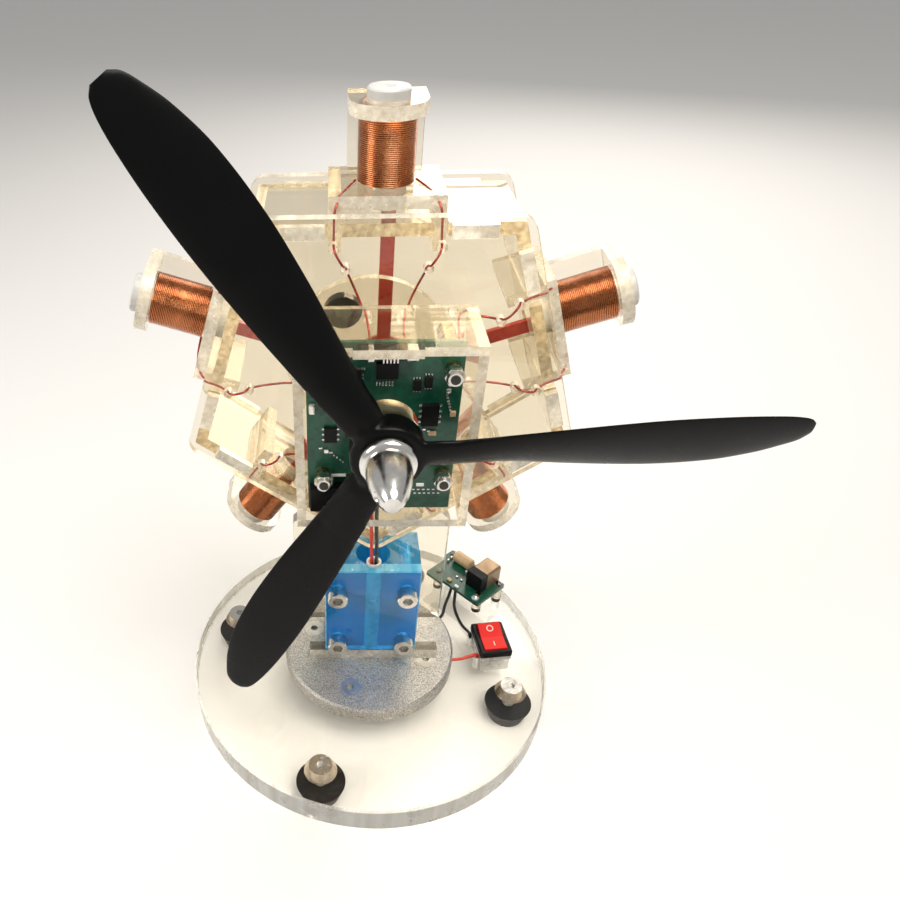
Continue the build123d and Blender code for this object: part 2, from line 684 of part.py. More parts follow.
def crankcase_wall(angle):
    """Mitred side wall with tabs, a plunger hole and two slots for the coil holder's cheeks."""
    low = CASE_APOTHEM - CASE_WALL
    half_out = CASE_APOTHEM * math.tan(math.radians(HALF_SIDE_ANGLE))
    profile = [(-WALL_HALF_INNER, low), (WALL_HALF_INNER, low), (half_out, CASE_APOTHEM)]
    profile.append((-half_out, CASE_APOTHEM))
    wall = outline_plate(profile, WALL_FRONT_Y - MID_Y, WALL_BACK_Y - MID_Y)
    tab = TAB_LENGTH / 2
    y_out = WALL_FRONT_Y - CASE_PLATE - MID_Y
    for v in (-TAB_V, TAB_V):
        wall += block(v - tab, v + tab, y_out, -y_out, low, CASE_APOTHEM)
    wall -= rod_z(TUBE_BORE + WALL_HOLE_STEP, low, CASE_APOTHEM)
    slot_back = HOLDER_DEPTH / 2 + SLOT_CLEARANCE
    slot_width = CHEEK_THICKNESS + 2 * SLOT_CLEARANCE
    for side in (-1, 1):
        v = side * (CHEEK_V + CHEEK_THICKNESS / 2)
        slot_front = WALL_FRONT_Y - MID_Y
        wall -= block(v - slot_width / 2, v + slot_width / 2, slot_front, slot_back, low, CASE_APOTHEM)
    return at_cylinder(angle, wall)


# ---------------------------------------------------------------- coils
def coil_holder(angle):
    """Plates that carry one coil: seat, two cheeks, back strip and rounded cap."""
    half = HOLDER_WIDTH / 2
    deep = HOLDER_DEPTH / 2
    seat = block(-half, half, -deep, deep, HOLDER_U, COIL_U)
    seat -= rod_z(TUBE_RADIUS + THREAD_CLEARANCE, HOLDER_U, COIL_U)
    cheek_low = HOLDER_U - CHEEK_REACH
    right_cheek = block(CHEEK_V, half, -deep, deep, cheek_low, HOLDER_U)
    left_cheek = block(-half, -CHEEK_V, -deep, deep, cheek_low, HOLDER_U)
    cap_half = CAP_WIDTH / 2
    cap = rod_z(cap_half, CAP_U, CAP_U + HOLDER_PLATE)
    cap += block(-cap_half, cap_half, 0, cap_half, CAP_U, CAP_U + HOLDER_PLATE)
    cap -= rod_z(TUBE_RADIUS + THREAD_CLEARANCE, CAP_U, CAP_U + HOLDER_PLATE)
    strip_front = cap_half - HOLDER_STRIP
    strip = block(-cap_half, cap_half, strip_front, cap_half, COIL_U, CAP_U)
    return [at_cylinder(angle, piece) for piece in (seat, right_cheek, left_cheek, strip, cap)]


def coil_tube(angle):
    """White guide tube, open inward, with a dimpled closed end."""
    tube = rod_z(TUBE_RADIUS, CASE_APOTHEM, TUBE_OUT_U)
    tube = chamfer(tube.edges().filter_by(GeomType.CIRCLE).group_by(Axis.Z)[-1], 0.5)
    tube -= rod_z(TUBE_BORE, CASE_APOTHEM, TUBE_OUT_U - TUBE_END)
    tube -= cone_z(0.4, TUBE_DIMPLE, TUBE_OUT_U - 1.2, TUBE_OUT_U)
    return at_cylinder(angle, tube)


def coil_winding(angle):
    """Copper winding on the tube."""
    winding = rod_z(COIL_RADIUS, COIL_U, CAP_U)
    winding -= rod_z(TUBE_RADIUS + THREAD_CLEARANCE, COIL_U, CAP_U)
    return at_cylinder(angle, winding)


# ---------------------------------------------------------------- plungers, rods and crank
def plunger_shift(angle):
    """How far the crank at rest holds a plunger out from its middle place."""
    return CRANK_THROW * math.cos(math.radians(CRANK_ANGLE - angle))


def plunger(angle):
    """Steel plunger with a fork for the rod and a cross hole for the wrist pin."""
    low = PLUNGER_U + plunger_shift(angle)
    body = rod_z(PLUNGER_RADIUS, low, low + PLUNGER_LENGTH)
    body = chamfer(body.edges().filter_by(GeomType.CIRCLE).group_by(Axis.Z)[-1], 0.6)
    wide = PLUNGER_RADIUS + 1
    body -= block(-wide, wide, -FORK_SLOT / 2, FORK_SLOT / 2, low, low + FORK_DEPTH)
    pin_u = WRIST_U + plunger_shift(angle)
    body -= rod_y(WRIST_PIN / 2 + RUN_CLEARANCE, -wide, wide, 0, pin_u)
    return at_cylinder(angle, body)


def at_crank_pin(shape):
    """Carry a piece from the crank pin's axis to its place at rest."""
    x, z = polar(CRANK_THROW, CRANK_ANGLE)
    return Pos(x, 0, AXIS_Z + z) * shape


def at_rod(angle, shape):
    """Carry a piece from one rod's frame, Z outward along the rod, to its place at rest."""
    return at_crank_pin(Pos(0, MID_Y, 0) * Rot(0, 90 - angle, 0) * shape)


def connecting_rod(angle):
    """Flat red strip with round ends and an eye at each."""
    thick = ROD_THICKNESS / 2
    strip = block(-ROD_WIDTH / 2, ROD_WIDTH / 2, -thick, thick, LINK_PIN_RADIUS, WRIST_U)
    for u in (LINK_PIN_RADIUS, WRIST_U):
        strip += rod_y(ROD_WIDTH / 2, -thick, thick, 0, u)
    strip -= rod_y(LINK_PIN / 2 + RUN_CLEARANCE, -thick, thick, 0, LINK_PIN_RADIUS)
    strip -= rod_y(WRIST_PIN / 2 + RUN_CLEARANCE, -thick, thick, 0, WRIST_U)
    return at_rod(angle, strip)


def rod_hub():
    """Turned hub: a sleeve on the crank pin between two flanges that hold the link pins."""
    plates_y = [(ROD_FRONT_Y - ROD_HUB_PLATE, ROD_FRONT_Y), (ROD_BACK_Y, ROD_BACK_Y + ROD_HUB_PLATE)]
    hub = rod_y(CRANK_PIN / 2 + ROD_HUB_SLEEVE, plates_y[0][0], plates_y[1][1])
    for y0, y1 in plates_y:
        hub += rod_y(ROD_HUB_RADIUS, y0, y1)
    hub -= rod_y(CRANK_PIN / 2 + RUN_CLEARANCE, plates_y[0][0], plates_y[1][1])
    for angle in CYLINDER_ANGLES:
        x, z = polar(LINK_PIN_RADIUS, angle)
        hub -= rod_y(LINK_PIN / 2 + THREAD_CLEARANCE, plates_y[0][0], plates_y[1][1], x, z)
    return at_crank_pin(hub)


def rod_pins():
    """Link pins in the hub and wrist pins in the rods' outer eyes."""
    link_half = ROD_THICKNESS / 2 + ROD_HUB_PLATE
    wrist_half = ROD_THICKNESS / 2 + 0.1
    pins = []
    for angle in CYLINDER_ANGLES:
        pins.append(at_rod(angle, rod_y(LINK_PIN / 2, -link_half, link_half, 0, LINK_PIN_RADIUS)))
        pins.append(at_rod(angle, rod_y(WRIST_PIN / 2, -wrist_half, wrist_half, 0, WRIST_U)))
    return pins


def crankshaft():
    """Shaft with a driving shoulder, a web and the overhung crank pin with its clip."""
    tip = COLLAR_FRONT_Y - SPINNER_LENGTH * SHAFT_TIP_SHARE
    shaft = rod_y(SHAFT / 2, tip, WEB_FRONT_Y, 0, AXIS_Z)
    shoulder_back = BEARING_TUBE_FRONT_Y - SHAFT_SHOULDER_GAP
    shoulder = rod_y(SHAFT / 2 + SHAFT_SHOULDER_STEP, HUB_BACK_Y, shoulder_back, 0, AXIS_Z)
    driver_radius = PROP_HUB_RADIUS - DRIVER_STEP
    driver = rod_y(driver_radius, HUB_BACK_Y, HUB_BACK_Y + DRIVER_THICKNESS, 0, AXIS_Z)
    web = rod_y(CRANK_WEB_RADIUS, WEB_FRONT_Y, WEB_BACK_Y, 0, AXIS_Z)
    clip_front = ROD_BACK_Y + ROD_HUB_PLATE + ROD_HUB_GAP
    clip_back = clip_front + CRANK_CLIP
    clip = at_crank_pin(rod_y(CRANK_PIN / 2 + CRANK_CLIP_STEP, clip_front, clip_back))
    pin = at_crank_pin(rod_y(CRANK_PIN / 2, WEB_BACK_Y, clip_back + ROD_HUB_GAP))
    return shaft + shoulder + driver + web + pin + clip


def crank_disc():
    """Clear offset disc that balances the crank pin."""
    back = WEIGHT_DISC_FRONT_Y + DISC_WEIGHT_THICKNESS
    x, z = polar(DISC_WEIGHT_OFFSET, CRANK_ANGLE + 180.0)
    disc = rod_y(DISC_WEIGHT_RADIUS, WEIGHT_DISC_FRONT_Y, back, x, AXIS_Z + z)
    disc -= rod_y(SHAFT / 2 + THREAD_CLEARANCE, WEIGHT_DISC_FRONT_Y, back, 0, AXIS_Z)
    x, z = polar(WEIGHT_PLACE, WEIGHT_ANGLE)
    return disc - rod_y(M3 / 2 + THREAD_CLEARANCE, WEIGHT_DISC_FRONT_Y, back, x, AXIS_Z + z)


def counterweight():
    """Round weight on the disc and the screw that holds it."""
    x, z = polar(WEIGHT_PLACE, WEIGHT_ANGLE)
    front = WEIGHT_DISC_FRONT_Y - WEIGHT_THICKNESS
    weight = rod_y(WEIGHT_RADIUS, front, WEIGHT_DISC_FRONT_Y, x, AXIS_Z + z)
    weight -= rod_y(M3 / 2 + THREAD_CLEARANCE, front, WEIGHT_DISC_FRONT_Y, x, AXIS_Z + z)
    screw = rod_y(WEIGHT_SCREW_HEAD_RADIUS, front - WEIGHT_SCREW_HEAD, front, x, AXIS_Z + z)
    screw += rod_y(M3 / 2, front, WEIGHT_DISC_FRONT_Y + DISC_WEIGHT_THICKNESS, x, AXIS_Z + z)
    return [weight, screw]


# ---------------------------------------------------------------- bearing tube, propeller, spinner
def bearing_tube():
    """Flanged tube through the front plate, counterbored at both ends for the bearings."""
    tube = rod_y(BEARING_TUBE_RADIUS, BEARING_TUBE_FRONT_Y, WALL_FRONT_Y, 0, AXIS_Z)
    tube += rod_y(BEARING_FLANGE_RADIUS, CASE_FRONT_Y - BEARING_FLANGE, CASE_FRONT_Y, 0, AXIS_Z)
    tube -= rod_y(BEARING_RADIUS - 1.0, BEARING_TUBE_FRONT_Y, WALL_FRONT_Y, 0, AXIS_Z)
    for y0, y1 in bearing_spans():
        tube -= rod_y(BEARING_RADIUS + THREAD_CLEARANCE, y0, y1, 0, AXIS_Z)
    groove_y = BEARING_TUBE_FRONT_Y + TURNED_GROOVE
    for radius in TURNED_GROOVE_RADII:
        groove = rod_y(radius + TURNED_GROOVE, BEARING_TUBE_FRONT_Y, groove_y, 0, AXIS_Z)
        tube -= groove - rod_y(radius, BEARING_TUBE_FRONT_Y, groove_y, 0, AXIS_Z)
    return tube


def bearing_spans():
    """Front and rear face of each bearing."""
    front = (BEARING_TUBE_FRONT_Y, BEARING_TUBE_FRONT_Y + BEARING_WIDTH)
    return [front, (WALL_FRONT_Y - BEARING_WIDTH, WALL_FRONT_Y)]


def shaft_bearing(y0, y1):
    """Ball bearing, closed as one ring."""
    ring = rod_y(BEARING_RADIUS, y0, y1, 0, AXIS_Z)
    return ring - rod_y(SHAFT / 2 + RUN_CLEARANCE, y0, y1, 0, AXIS_Z)


def blade_section(station, chord, thickness, pitch, lag):
    """Cambered blade section at one radius, on a blade that points along +X."""
    lean = math.radians(pitch)
    across = (0, -math.sin(lean), math.cos(lean))
    plane = Plane(origin=(station, -PROP_SWEEP, -lag), x_dir=across, z_dir=(1, 0, 0))
    half = chord / 2
    front = ThreePointArc((-half, 0), (0, thickness * 0.72), (half, 0))
    back = ThreePointArc((half, 0), (0, -thickness * 0.28), (-half, 0))
    return plane * make_face([front, back])


def propeller():
    """Three twisted blades on a round hub."""
    sections = []
    for share, chord, thickness, pitch, lag in BLADE_STATIONS:
        sections.append(blade_section(share * PROP_TIP_RADIUS, chord, thickness, pitch, lag))
    blade = loft(sections)
    hub = Rot(90, 0, 0) * Cylinder(PROP_HUB_RADIUS, PROP_HUB_LENGTH)
    prop = chamfer(hub.edges().filter_by(GeomType.CIRCLE), 0.8)
    for k in range(PROP_BLADES):
        prop += Rot(0, -PROP_START_ANGLE - k * 360.0 / PROP_BLADES, 0) * blade
    half = PROP_HUB_LENGTH / 2
    prop -= rod_y(SHAFT / 2 + THREAD_CLEARANCE, -half, half)
    return Pos(0, PROP_PLANE_Y, AXIS_Z) * prop


def prop_collar():
    """Polished clamping washer in front of the hub."""
    collar = rod_y(COLLAR_RADIUS, COLLAR_FRONT_Y, HUB_FRONT_Y, 0, AXIS_Z)
    collar = chamfer(collar.edges().filter_by(GeomType.CIRCLE).group_by(Axis.Y)[0], 1.2)
    return collar - rod_y(SHAFT / 2 + THREAD_CLEARANCE, COLLAR_FRONT_Y, HUB_FRONT_Y, 0, AXIS_Z)


def spinner_nut():
    """Bullet-shaped nut with a cross hole for a tightening bar."""
    radius = SPINNER_RADIUS
    length = SPINNER_LENGTH
    side = [(0, 0), (radius, 0), (radius * 0.985, length * 0.25), (radius * 0.9, length * 0.5)]
    side += [(radius * 0.72, length * 0.75), (SPINNER_TIP_RADIUS, length - 0.6)]
    side += [(SPINNER_TIP_RADIUS - 1.0, length), (0, length)]
    nut = revolve(Plane.XZ * make_face(Polyline(*side, close=True)), Axis.Z)
    nut -= rod_z(SHAFT / 2 + THREAD_CLEARANCE, 0, length * SPINNER_THREAD_SHARE)
    bar_hole = Rot(0, 90, 0) * Cylinder(SPINNER_HOLE, 4 * radius)
    nut -= Pos(0, 0, length * SPINNER_HOLE_SHARE) * bar_hole
    return Pos(0, COLLAR_FRONT_Y, AXIS_Z) * facing_front(nut)


# ---------------------------------------------------------------- control board and box
def spacer_places():
    """Centres of the board spacers, as X and Z."""
    place = BOARD_HOLE_PLACE
    middle = AXIS_Z + BOARD_HOLE_RISE
    return [(sx * place, middle + sz * place) for sx in (-1, 1) for sz in (-1, 1)]


def pcb_box():
    """Four clear walls glued to the crankcase in front, with the front and rear left open."""
    top = AXIS_Z + BOX_TOP
    low = AXIS_Z + BOX_BOTTOM
    half = BOX_HALF_WIDTH
    wall = BOX_WALL
    lid = block(-half, half, BOX_FRONT_Y, CASE_FRONT_Y, top - wall, top)
    tab_front = BOX_FRONT_Y - BOX_TAB_REACH
    lid += block(BOX_TAB_LEFT, BOX_TAB_RIGHT, tab_front, BOX_FRONT_Y, top - wall, top)
    floor = block(-half, half, BOX_FRONT_Y, CASE_FRONT_Y, low, low + wall)
    x, y = BOX_LEAD_HOLE
    floor -= rod_z(BOX_LEAD_HOLE_RADIUS, low, low + wall, x, y)
    right = block(half - wall, half, BOX_FRONT_Y, CASE_FRONT_Y, low + wall, top - wall)
    left = block(-half, wall - half, BOX_FRONT_Y, CASE_FRONT_Y, low + wall, top - wall)
    return [lid, floor, right, left]


def control_board():
    """Green board with a hole for the bearing tube and four corner holes."""
    low = AXIS_Z + BOARD_BOTTOM
    board = block(BOARD_LEFT, BOARD_RIGHT, BOARD_FRONT_Y, BOARD_BACK_Y, low, AXIS_Z + BOARD_TOP)
    shaft_hole = BEARING_TUBE_RADIUS + BOARD_SHAFT_CLEARANCE
    board -= rod_y(shaft_hole, BOARD_FRONT_Y, BOARD_BACK_Y, 0, AXIS_Z)
    for x, z in spacer_places():
        board -= rod_y(M3 / 2 + HOLE_CLEARANCE, BOARD_FRONT_Y, BOARD_BACK_Y, x, z)
    return board


def board_spacer(x, z):
    """Brass hexagon spacer with a stud at each end."""
    spacer = hex_z(SPACER_FLATS, 0, SPACER_LENGTH)
    spacer += rod_z(M3 / 2, -CASE_PLATE, 0)
    stud_top = SPACER_LENGTH + BOARD_THICKNESS + NUT_COLLAR_LENGTH + M3_NUT_HEIGHT + 0.3
    spacer += rod_z(M3 / 2, SPACER_LENGTH, stud_top)
    return Pos(x, CASE_FRONT_Y, z) * facing_front(spacer)


def board_nut(x, z):
    """M3 lock nut with its round collar in front, on a turned collar that stands on the board."""
    low = NUT_COLLAR_LENGTH
    top = low + M3_NUT_HEIGHT
    ring = top - 1.3
    nut = rod_z(NUT_COLLAR_RADIUS, 0, low) + hex_z(M3_NUT_FLATS, low, ring)
    nut += cone_z(M3_NUT_FLATS / 2, M3_NUT_FLATS / 2 - 0.5, ring, top)
    nut -= rod_z(M3 / 2 + THREAD_CLEARANCE, 0, top)
    return Pos(x, BOARD_FRONT_Y, z) * facing_front(nut)


def on_board(x0, x1, z0, z1, height):
    """Component on the board's front, from the shaft axis across and up."""
    return block(x0, x1, BOARD_FRONT_Y - height, BOARD_FRONT_Y, AXIS_Z + z0, AXIS_Z + z1)


def board_parts():
    """Lead socket, driver chips, position sensors and a light bar on the board's front."""
    socket = on_board(-24.2, -10.8, -31.6, -24.8, 5.0)
    controller = on_board(11.4, 16.8, 1.0, 9.4, 1.6)
    drivers = [on_board(x, x + 4.0, z, z + 5.0, 1.4) for x, z in ((8.6, 12.0), (13.4, 12.0), (-18.5, -7.5))]
    sensor = on_board(-3.4, 3.4, 19.6, 23.6, 1.6)
    port = on_board(-9.5, 9.5, 26.4, 28.2, 4.4)
    row = on_board(17.6, 19.4, -2.5, 9.5, 0.8)
    bar = on_board(-15.8, -9.8, -18.6, -17.6, 0.8)
    return [socket, controller, sensor, port, row, bar] + drivers


# ---------------------------------------------------------------- switch
def switch_body():
    """Translucent switch body: hollow on top for the rocker, with two terminals below."""
    wide = SWITCH_BODY_WIDTH / 2
    long = SWITCH_BODY_LENGTH / 2
    low = BODY_TOP - SWITCH_BODY_DEPTH
    body = block(-wide, wide, -long, long, low, BODY_TOP)
    flange = SWITCH_FLANGE
    body += block(-wide - flange, wide + flange, -long - flange, long + flange, BASE_TOP, BODY_TOP)
    body -= rocker_well(PIVOT_Z - ROCKER_WELL_DROP, BODY_TOP)
    half = TERMINAL_WIDTH / 2
    for y in (-TERMINAL_PLACE, TERMINAL_PLACE):
        side = TERMINAL_SIDE
        body += block(-side, TERMINAL_THICKNESS - side, y - half, y + half, low - TERMINAL_LENGTH, low)
    return at_switch(body)


def rocker_well(z0, z1):
    """Hollow that the rocker swings in, from z0 up to z1."""
    wide = ROCKER_WIDTH / 2 + ROCKER_GAP
    long = ROCKER_RADIUS + ROCKER_GAP
    return block(-wide, wide, -long, long, z0, z1)


def switch_bezel():
    """Black frame on top of the switch body, with the rocker's pin holes."""
    wide = BEZEL_WIDTH / 2
    long = BEZEL_LENGTH / 2
    bezel = block(-wide, wide, -long, long, BODY_TOP, BEZEL_TOP)
    bezel = fillet(bezel.edges().filter_by(Axis.Z), 1.0)
    bezel = chamfer(bezel.faces().sort_by(Axis.Z)[-1].edges(), 0.6)
    bezel -= rocker_well(BODY_TOP, BEZEL_TOP)
    pin_reach = ROCKER_WIDTH / 2 + ROCKER_GAP + 0.8
    pin_hole = Rot(0, 90, 0) * Cylinder(ROCKER_PIN + RUN_CLEARANCE, 2 * pin_reach)
    return at_switch(bezel - Pos(0, 0, PIVOT_Z) * pin_hole)


def rocker():
    """Red rocker with a shallow valley on top, tipped to its front stop."""
    drum = Rot(0, 90, 0) * Cylinder(ROCKER_RADIUS, ROCKER_WIDTH)
    reach = ROCKER_RADIUS + 1
    outline = [(-reach, -4.0), (reach, -4.0), (reach, 3.3), (0, 1.9), (-reach, 3.3)]
    plane = Plane(origin=(-ROCKER_WIDTH, 0, 0), x_dir=(0, 1, 0), z_dir=(1, 0, 0))
    prism = extrude(plane * make_face(Polyline(*outline, close=True)), 2 * ROCKER_WIDTH)
    body = drum & prism
    pin_reach = ROCKER_WIDTH / 2 + ROCKER_GAP + 0.5
    body += Rot(0, 90, 0) * Cylinder(ROCKER_PIN, 2 * pin_reach)
    return at_switch(Pos(0, 0, PIVOT_Z) * Rot(ROCKER_TILT, 0, 0) * body)


# ---------------------------------------------------------------- power board
def power_holes():
    """Centres of the power board's corner holes, in its own frame."""
    inner = [(POWER_HOLE_INNER_X, side * POWER_HOLE_INNER_Y) for side in (-1, 1)]
    return inner + [(POWER_HOLE_OUTER_X, side * POWER_HOLE_OUTER_Y) for side in (-1, 1)]


def power_board():
    """Small green board on four posts."""
    wide = POWER_BOARD_WIDTH / 2
    long = POWER_BOARD_LENGTH / 2
    board = block(-wide, wide, -long, long, POWER_BOTTOM, POWER_TOP)
    board = fillet(board.edges().filter_by(Axis.Z), 1.0)
    for x, y in power_holes():
        board -= rod_z(POWER_PEG_RADIUS + HOLE_CLEARANCE, POWER_BOTTOM, POWER_TOP, x, y)
    return at_power_board(board)


def power_post(x, y):
    """Clear post with a peg through the board."""
    post = rod_z(POWER_POST_RADIUS, BASE_TOP, POWER_BOTTOM, x, y)
    peg = rod_z(POWER_PEG_RADIUS, POWER_BOTTOM, POWER_TOP + POWER_PEG_HEIGHT, x, y)
    return at_power_board(post + peg)


def power_jack():
    """Barrel jack: a plated shell round the bore and a black block behind it, with the centre pin."""
    half = JACK_SIZE / 2
    rim = POWER_BOARD_WIDTH / 2 + JACK_OVERHANG
    back = rim - JACK_SHELL_LENGTH
    y = JACK_PLACE - POWER_BOARD_LENGTH / 2
    mid_z = POWER_TOP + half
    shell = block(back, rim, y - half, y + half, POWER_TOP, POWER_TOP + JACK_SIZE)
    shell = chamfer(shell.edges().filter_by(Axis.X).group_by(Axis.Z)[-1], 0.9)
    bore = Rot(0, 90, 0) * Cylinder(JACK_BORE, JACK_BORE_DEPTH)
    shell -= Pos(rim - JACK_BORE_DEPTH / 2, y, mid_z) * bore
    pin = Rot(0, 90, 0) * Cylinder(JACK_PIN, JACK_BORE_DEPTH - 1.0)
    shell += Pos(rim - JACK_BORE_DEPTH / 2 - 0.5, y, mid_z) * pin
    body = block(back - JACK_BODY_LENGTH, back, y - half, y + half, POWER_TOP, POWER_TOP + JACK_SIZE)
    return [at_power_board(shell), at_power_board(body)]


def power_capacitor():
    """Capacitor lying on the board beside the jack."""
    can = Rot(90, 0, 0) * Cylinder(CAPACITOR_RADIUS, CAPACITOR_LENGTH)
    can = chamfer(can.edges().filter_by(GeomType.CIRCLE), 0.6)
    return at_power_board(Pos(CAPACITOR_X, CAPACITOR_Y, POWER_TOP + CAPACITOR_RADIUS) * can)


# ---------------------------------------------------------------- leads
def coil_leads():
    """Two wires per coil: round the seat, through the wall, woven through the front plate, to the board."""
    entries = iter(LEAD_ENTRIES)
    leads = []
    inside_y = WALL_FRONT_Y + 1.0
    outside_y = CASE_FRONT_Y - COIL_WIRE
    for angle in CYLINDER_ANGLES:
        for side in (-1, 1):
            local = [
                (side * (COIL_RADIUS + COIL_WIRE / 2 + 0.1), -1.0, COIL_U + COIL_WIRE / 2 + 0.1),
                (side * (LEAD_HOLE_OUT_V - 0.3), inside_y - MID_Y + 0.5, COIL_U + COIL_WIRE / 2 + 0.1),
                (side * (LEAD_HOLE_OUT_V - 0.1), inside_y - MID_Y + 0.3, CASE_APOTHEM - LEAD_HOLE_OUT + 1.2),
                (side * LEAD_HOLE_OUT_V, outside_y - MID_Y, CASE_APOTHEM - LEAD_HOLE_OUT - 0.4),
                (side * (LEAD_HOLE_IN_V + 0.4), outside_y - MID_Y, CASE_APOTHEM - LEAD_HOLE_IN + 0.8),
                (side * (LEAD_HOLE_IN_V - 0.1), inside_y - MID_Y, CASE_APOTHEM - LEAD_HOLE_IN - 0.4),
            ]
            x, z = next(entries)
            points = [tuple(at_cylinder(angle, Vertex(*point)).center()) for point in local]
            points.append((x, inside_y, AXIS_Z + z))
            points.append((x, BOARD_BACK_Y + 0.2, AXIS_Z + z))
            leads.append(lead("coil lead", points, COIL_WIRE, 6, [2.4] * 6))
    return leads


def groove_point(angle, reach, z):
    """Point along a groove in the disc's underside."""
    x, y = polar(reach, angle)
    return (SLEEVE_X + x, SLEEVE_Y + y, z)


def board_end(x):
    """Last points of a motor lead: up out of the sleeve, into the box, to the board's rear."""
    low = AXIS_Z + BOX_BOTTOM
    hole_x, hole_y = BOX_LEAD_HOLE
    return [
        (SLEEVE_X + x, SLEEVE_Y - 0.2, CLAMP_TOP + 2.0),
        (SLEEVE_X + x - 0.5, CASE_FRONT_Y - 2.8, CLAMP_TOP + 12.0),
        (hole_x + x, hole_y, low - 8.0),
        (hole_x + x, hole_y - 0.6, low + 7.0),
        (hole_x + x, BOARD_BACK_Y + 0.5, low + 13.0),
    ]


def motor_lead_red():
    """Red lead from the switch, under the disc and up through the clamp to the control board."""
    run_z = BASE_TOP + MOTOR_LEAD / 2 + 0.1
    notch = at_switch(Vertex(-SWITCH_BODY_WIDTH / 2 - 0.9, SWITCH_LEAD_FRONT, 0)).center()
    points = [
        (notch.X, notch.Y, FOOT_HEIGHT + 1.0),
        (notch.X, notch.Y, run_z),
        groove_point(RED_EXIT_ANGLE, DISC_RADIUS + 2.0, run_z),
        groove_point(RED_EXIT_ANGLE, 2.0, run_z),
        (SLEEVE_X - 1.0, SLEEVE_Y, DISC_TOP + 6.0),
    ]
    widest = [2.0, 12.0, 3.0, 4.0, 6.0, 6.0, 8.0, 8.0]
    return lead("red lead", points + board_end(-1.0), MOTOR_LEAD, 8, widest)


def motor_lead_black():
    """Black lead from the power board, under the disc and up through the clamp to the board."""
    run_z = BASE_TOP + MOTOR_LEAD / 2 + 0.1
    start = at_power_board(Vertex(-POWER_BOARD_WIDTH / 2 + 1.2, 0.3, 0)).center()
    points = [
        (start.X, start.Y, POWER_BOTTOM - 0.4),
        (start.X - 3.6, start.Y - 5.6, run_z + 0.3),
        groove_point(BLACK_EXIT_ANGLE, DISC_RADIUS + 6.0, run_z),
        groove_point(BLACK_EXIT_ANGLE, 4.0, run_z),
        (SLEEVE_X + 1.0, SLEEVE_Y, DISC_TOP + 6.0),
    ]
    widest = [4.0, 7.0, 3.0, 4.0, 6.0, 6.0, 8.0, 8.0]
    return lead("black lead", points + board_end(1.0), MOTOR_LEAD, 8, widest)


def switch_lead():
    """Short black lead from the power board to the switch."""
    run_z = BASE_TOP + MOTOR_LEAD / 2 + 0.1
    start = at_power_board(Vertex(-POWER_BOARD_WIDTH / 2 + 1.2, -2.4, 0)).center()
    notch = at_switch(Vertex(-SWITCH_BODY_WIDTH / 2 - 0.9, SWITCH_LEAD_BACK, 0)).center()
    points = [
        (start.X, start.Y, POWER_BOTTOM - 0.4),
        (start.X - 0.6, start.Y - 3.6, run_z + 0.6),
        (notch.X - 3.4, notch.Y + 5.6, run_z),
        (notch.X, notch.Y, run_z),
        (notch.X, notch.Y, FOOT_HEIGHT + 1.0),
    ]
    return lead("switch lead", points, MOTOR_LEAD, 8, [4.0, 8.0, 2.0])


# ---------------------------------------------------------------- build
save("base_plate", base_plate())
save("rubber_feet", [rubber_foot(x, y) for x, y in foot_places()])
save("foot_cup_washers", [cup_washer(x, y) for x, y in foot_places()])
save("foot_screws", [foot_screw(x, y) for x, y in foot_places()])
nuts = [foot_nut(x, y) for x, y in foot_places()]
save("frame_nuts", nuts + [clamp_nut(x, z) for x, z in clamp_bolt_places()])
save("mounting_disc", mounting_disc())
save("disc_screws", [disc_screw(x, y) for x, y in disc_screw_places()])

save("clamp_foot_strip", clamp_foot_strip())
save("clamp_foot_screws", [clamp_foot_screw(x, y) for x, y in clamp_screw_places()])
save("clamp_core", clamp_core())
save("clamp_front_plate", clamp_front_plate())
save("clamp_bolts", [clamp_bolt(x, z) for x, z in clamp_bolt_places()])
save("support_post", support_post())
save("cable_sleeve", cable_sleeve())

save("crankcase_front", crankcase_front())
save("crankcase_back", crankcase_back())
save("crankcase_walls", [crankcase_wall(angle) for angle in CYLINDER_ANGLES])
save("coil_tubes", [coil_tube(angle) for angle in CYLINDER_ANGLES])
for number, angle in enumerate(CYLINDER_ANGLES, start=1):
    save(f"coil_holder_{number}", coil_holder(angle))
    save(f"coil_winding_{number}", coil_winding(angle))
    save(f"plunger_{number}", plunger(angle))

save("connecting_rods", [connecting_rod(angle) for angle in CYLINDER_ANGLES])
save("rod_hub", rod_hub())
save("rod_pins", rod_pins())
save("crankshaft", crankshaft())
save("crank_disc", crank_disc())
save("counterweight", counterweight())

save("bearing_tube", bearing_tube())
save("shaft_bearings", [shaft_bearing(y0, y1) for y0, y1 in bearing_spans()])
save("propeller", propeller())
save("prop_collar", prop_collar())
save("spinner_nut", spinner_nut())

save("pcb_box", pcb_box())
save("control_board", control_board())
save("board_parts", board_parts())
save("board_spacers", [board_spacer(x, z) for x, z in spacer_places()])
save("board_nuts", [board_nut(x, z) for x, z in spacer_places()])

save("switch_body", switch_body())
save("switch_bezel", switch_bezel())
save("rocker", rocker())
save("power_board", power_board())
save("power_posts", [power_post(x, y) for x, y in power_holes()])
save("power_jack", power_jack())
save("power_capacitor", power_capacitor())

save("coil_leads", coil_leads())
save("motor_lead_red", motor_lead_red())
save("motor_lead_black", motor_lead_black())
save("switch_lead", switch_lead())
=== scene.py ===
import math

import bmesh
import bpy
from mathutils import Matrix, Vector


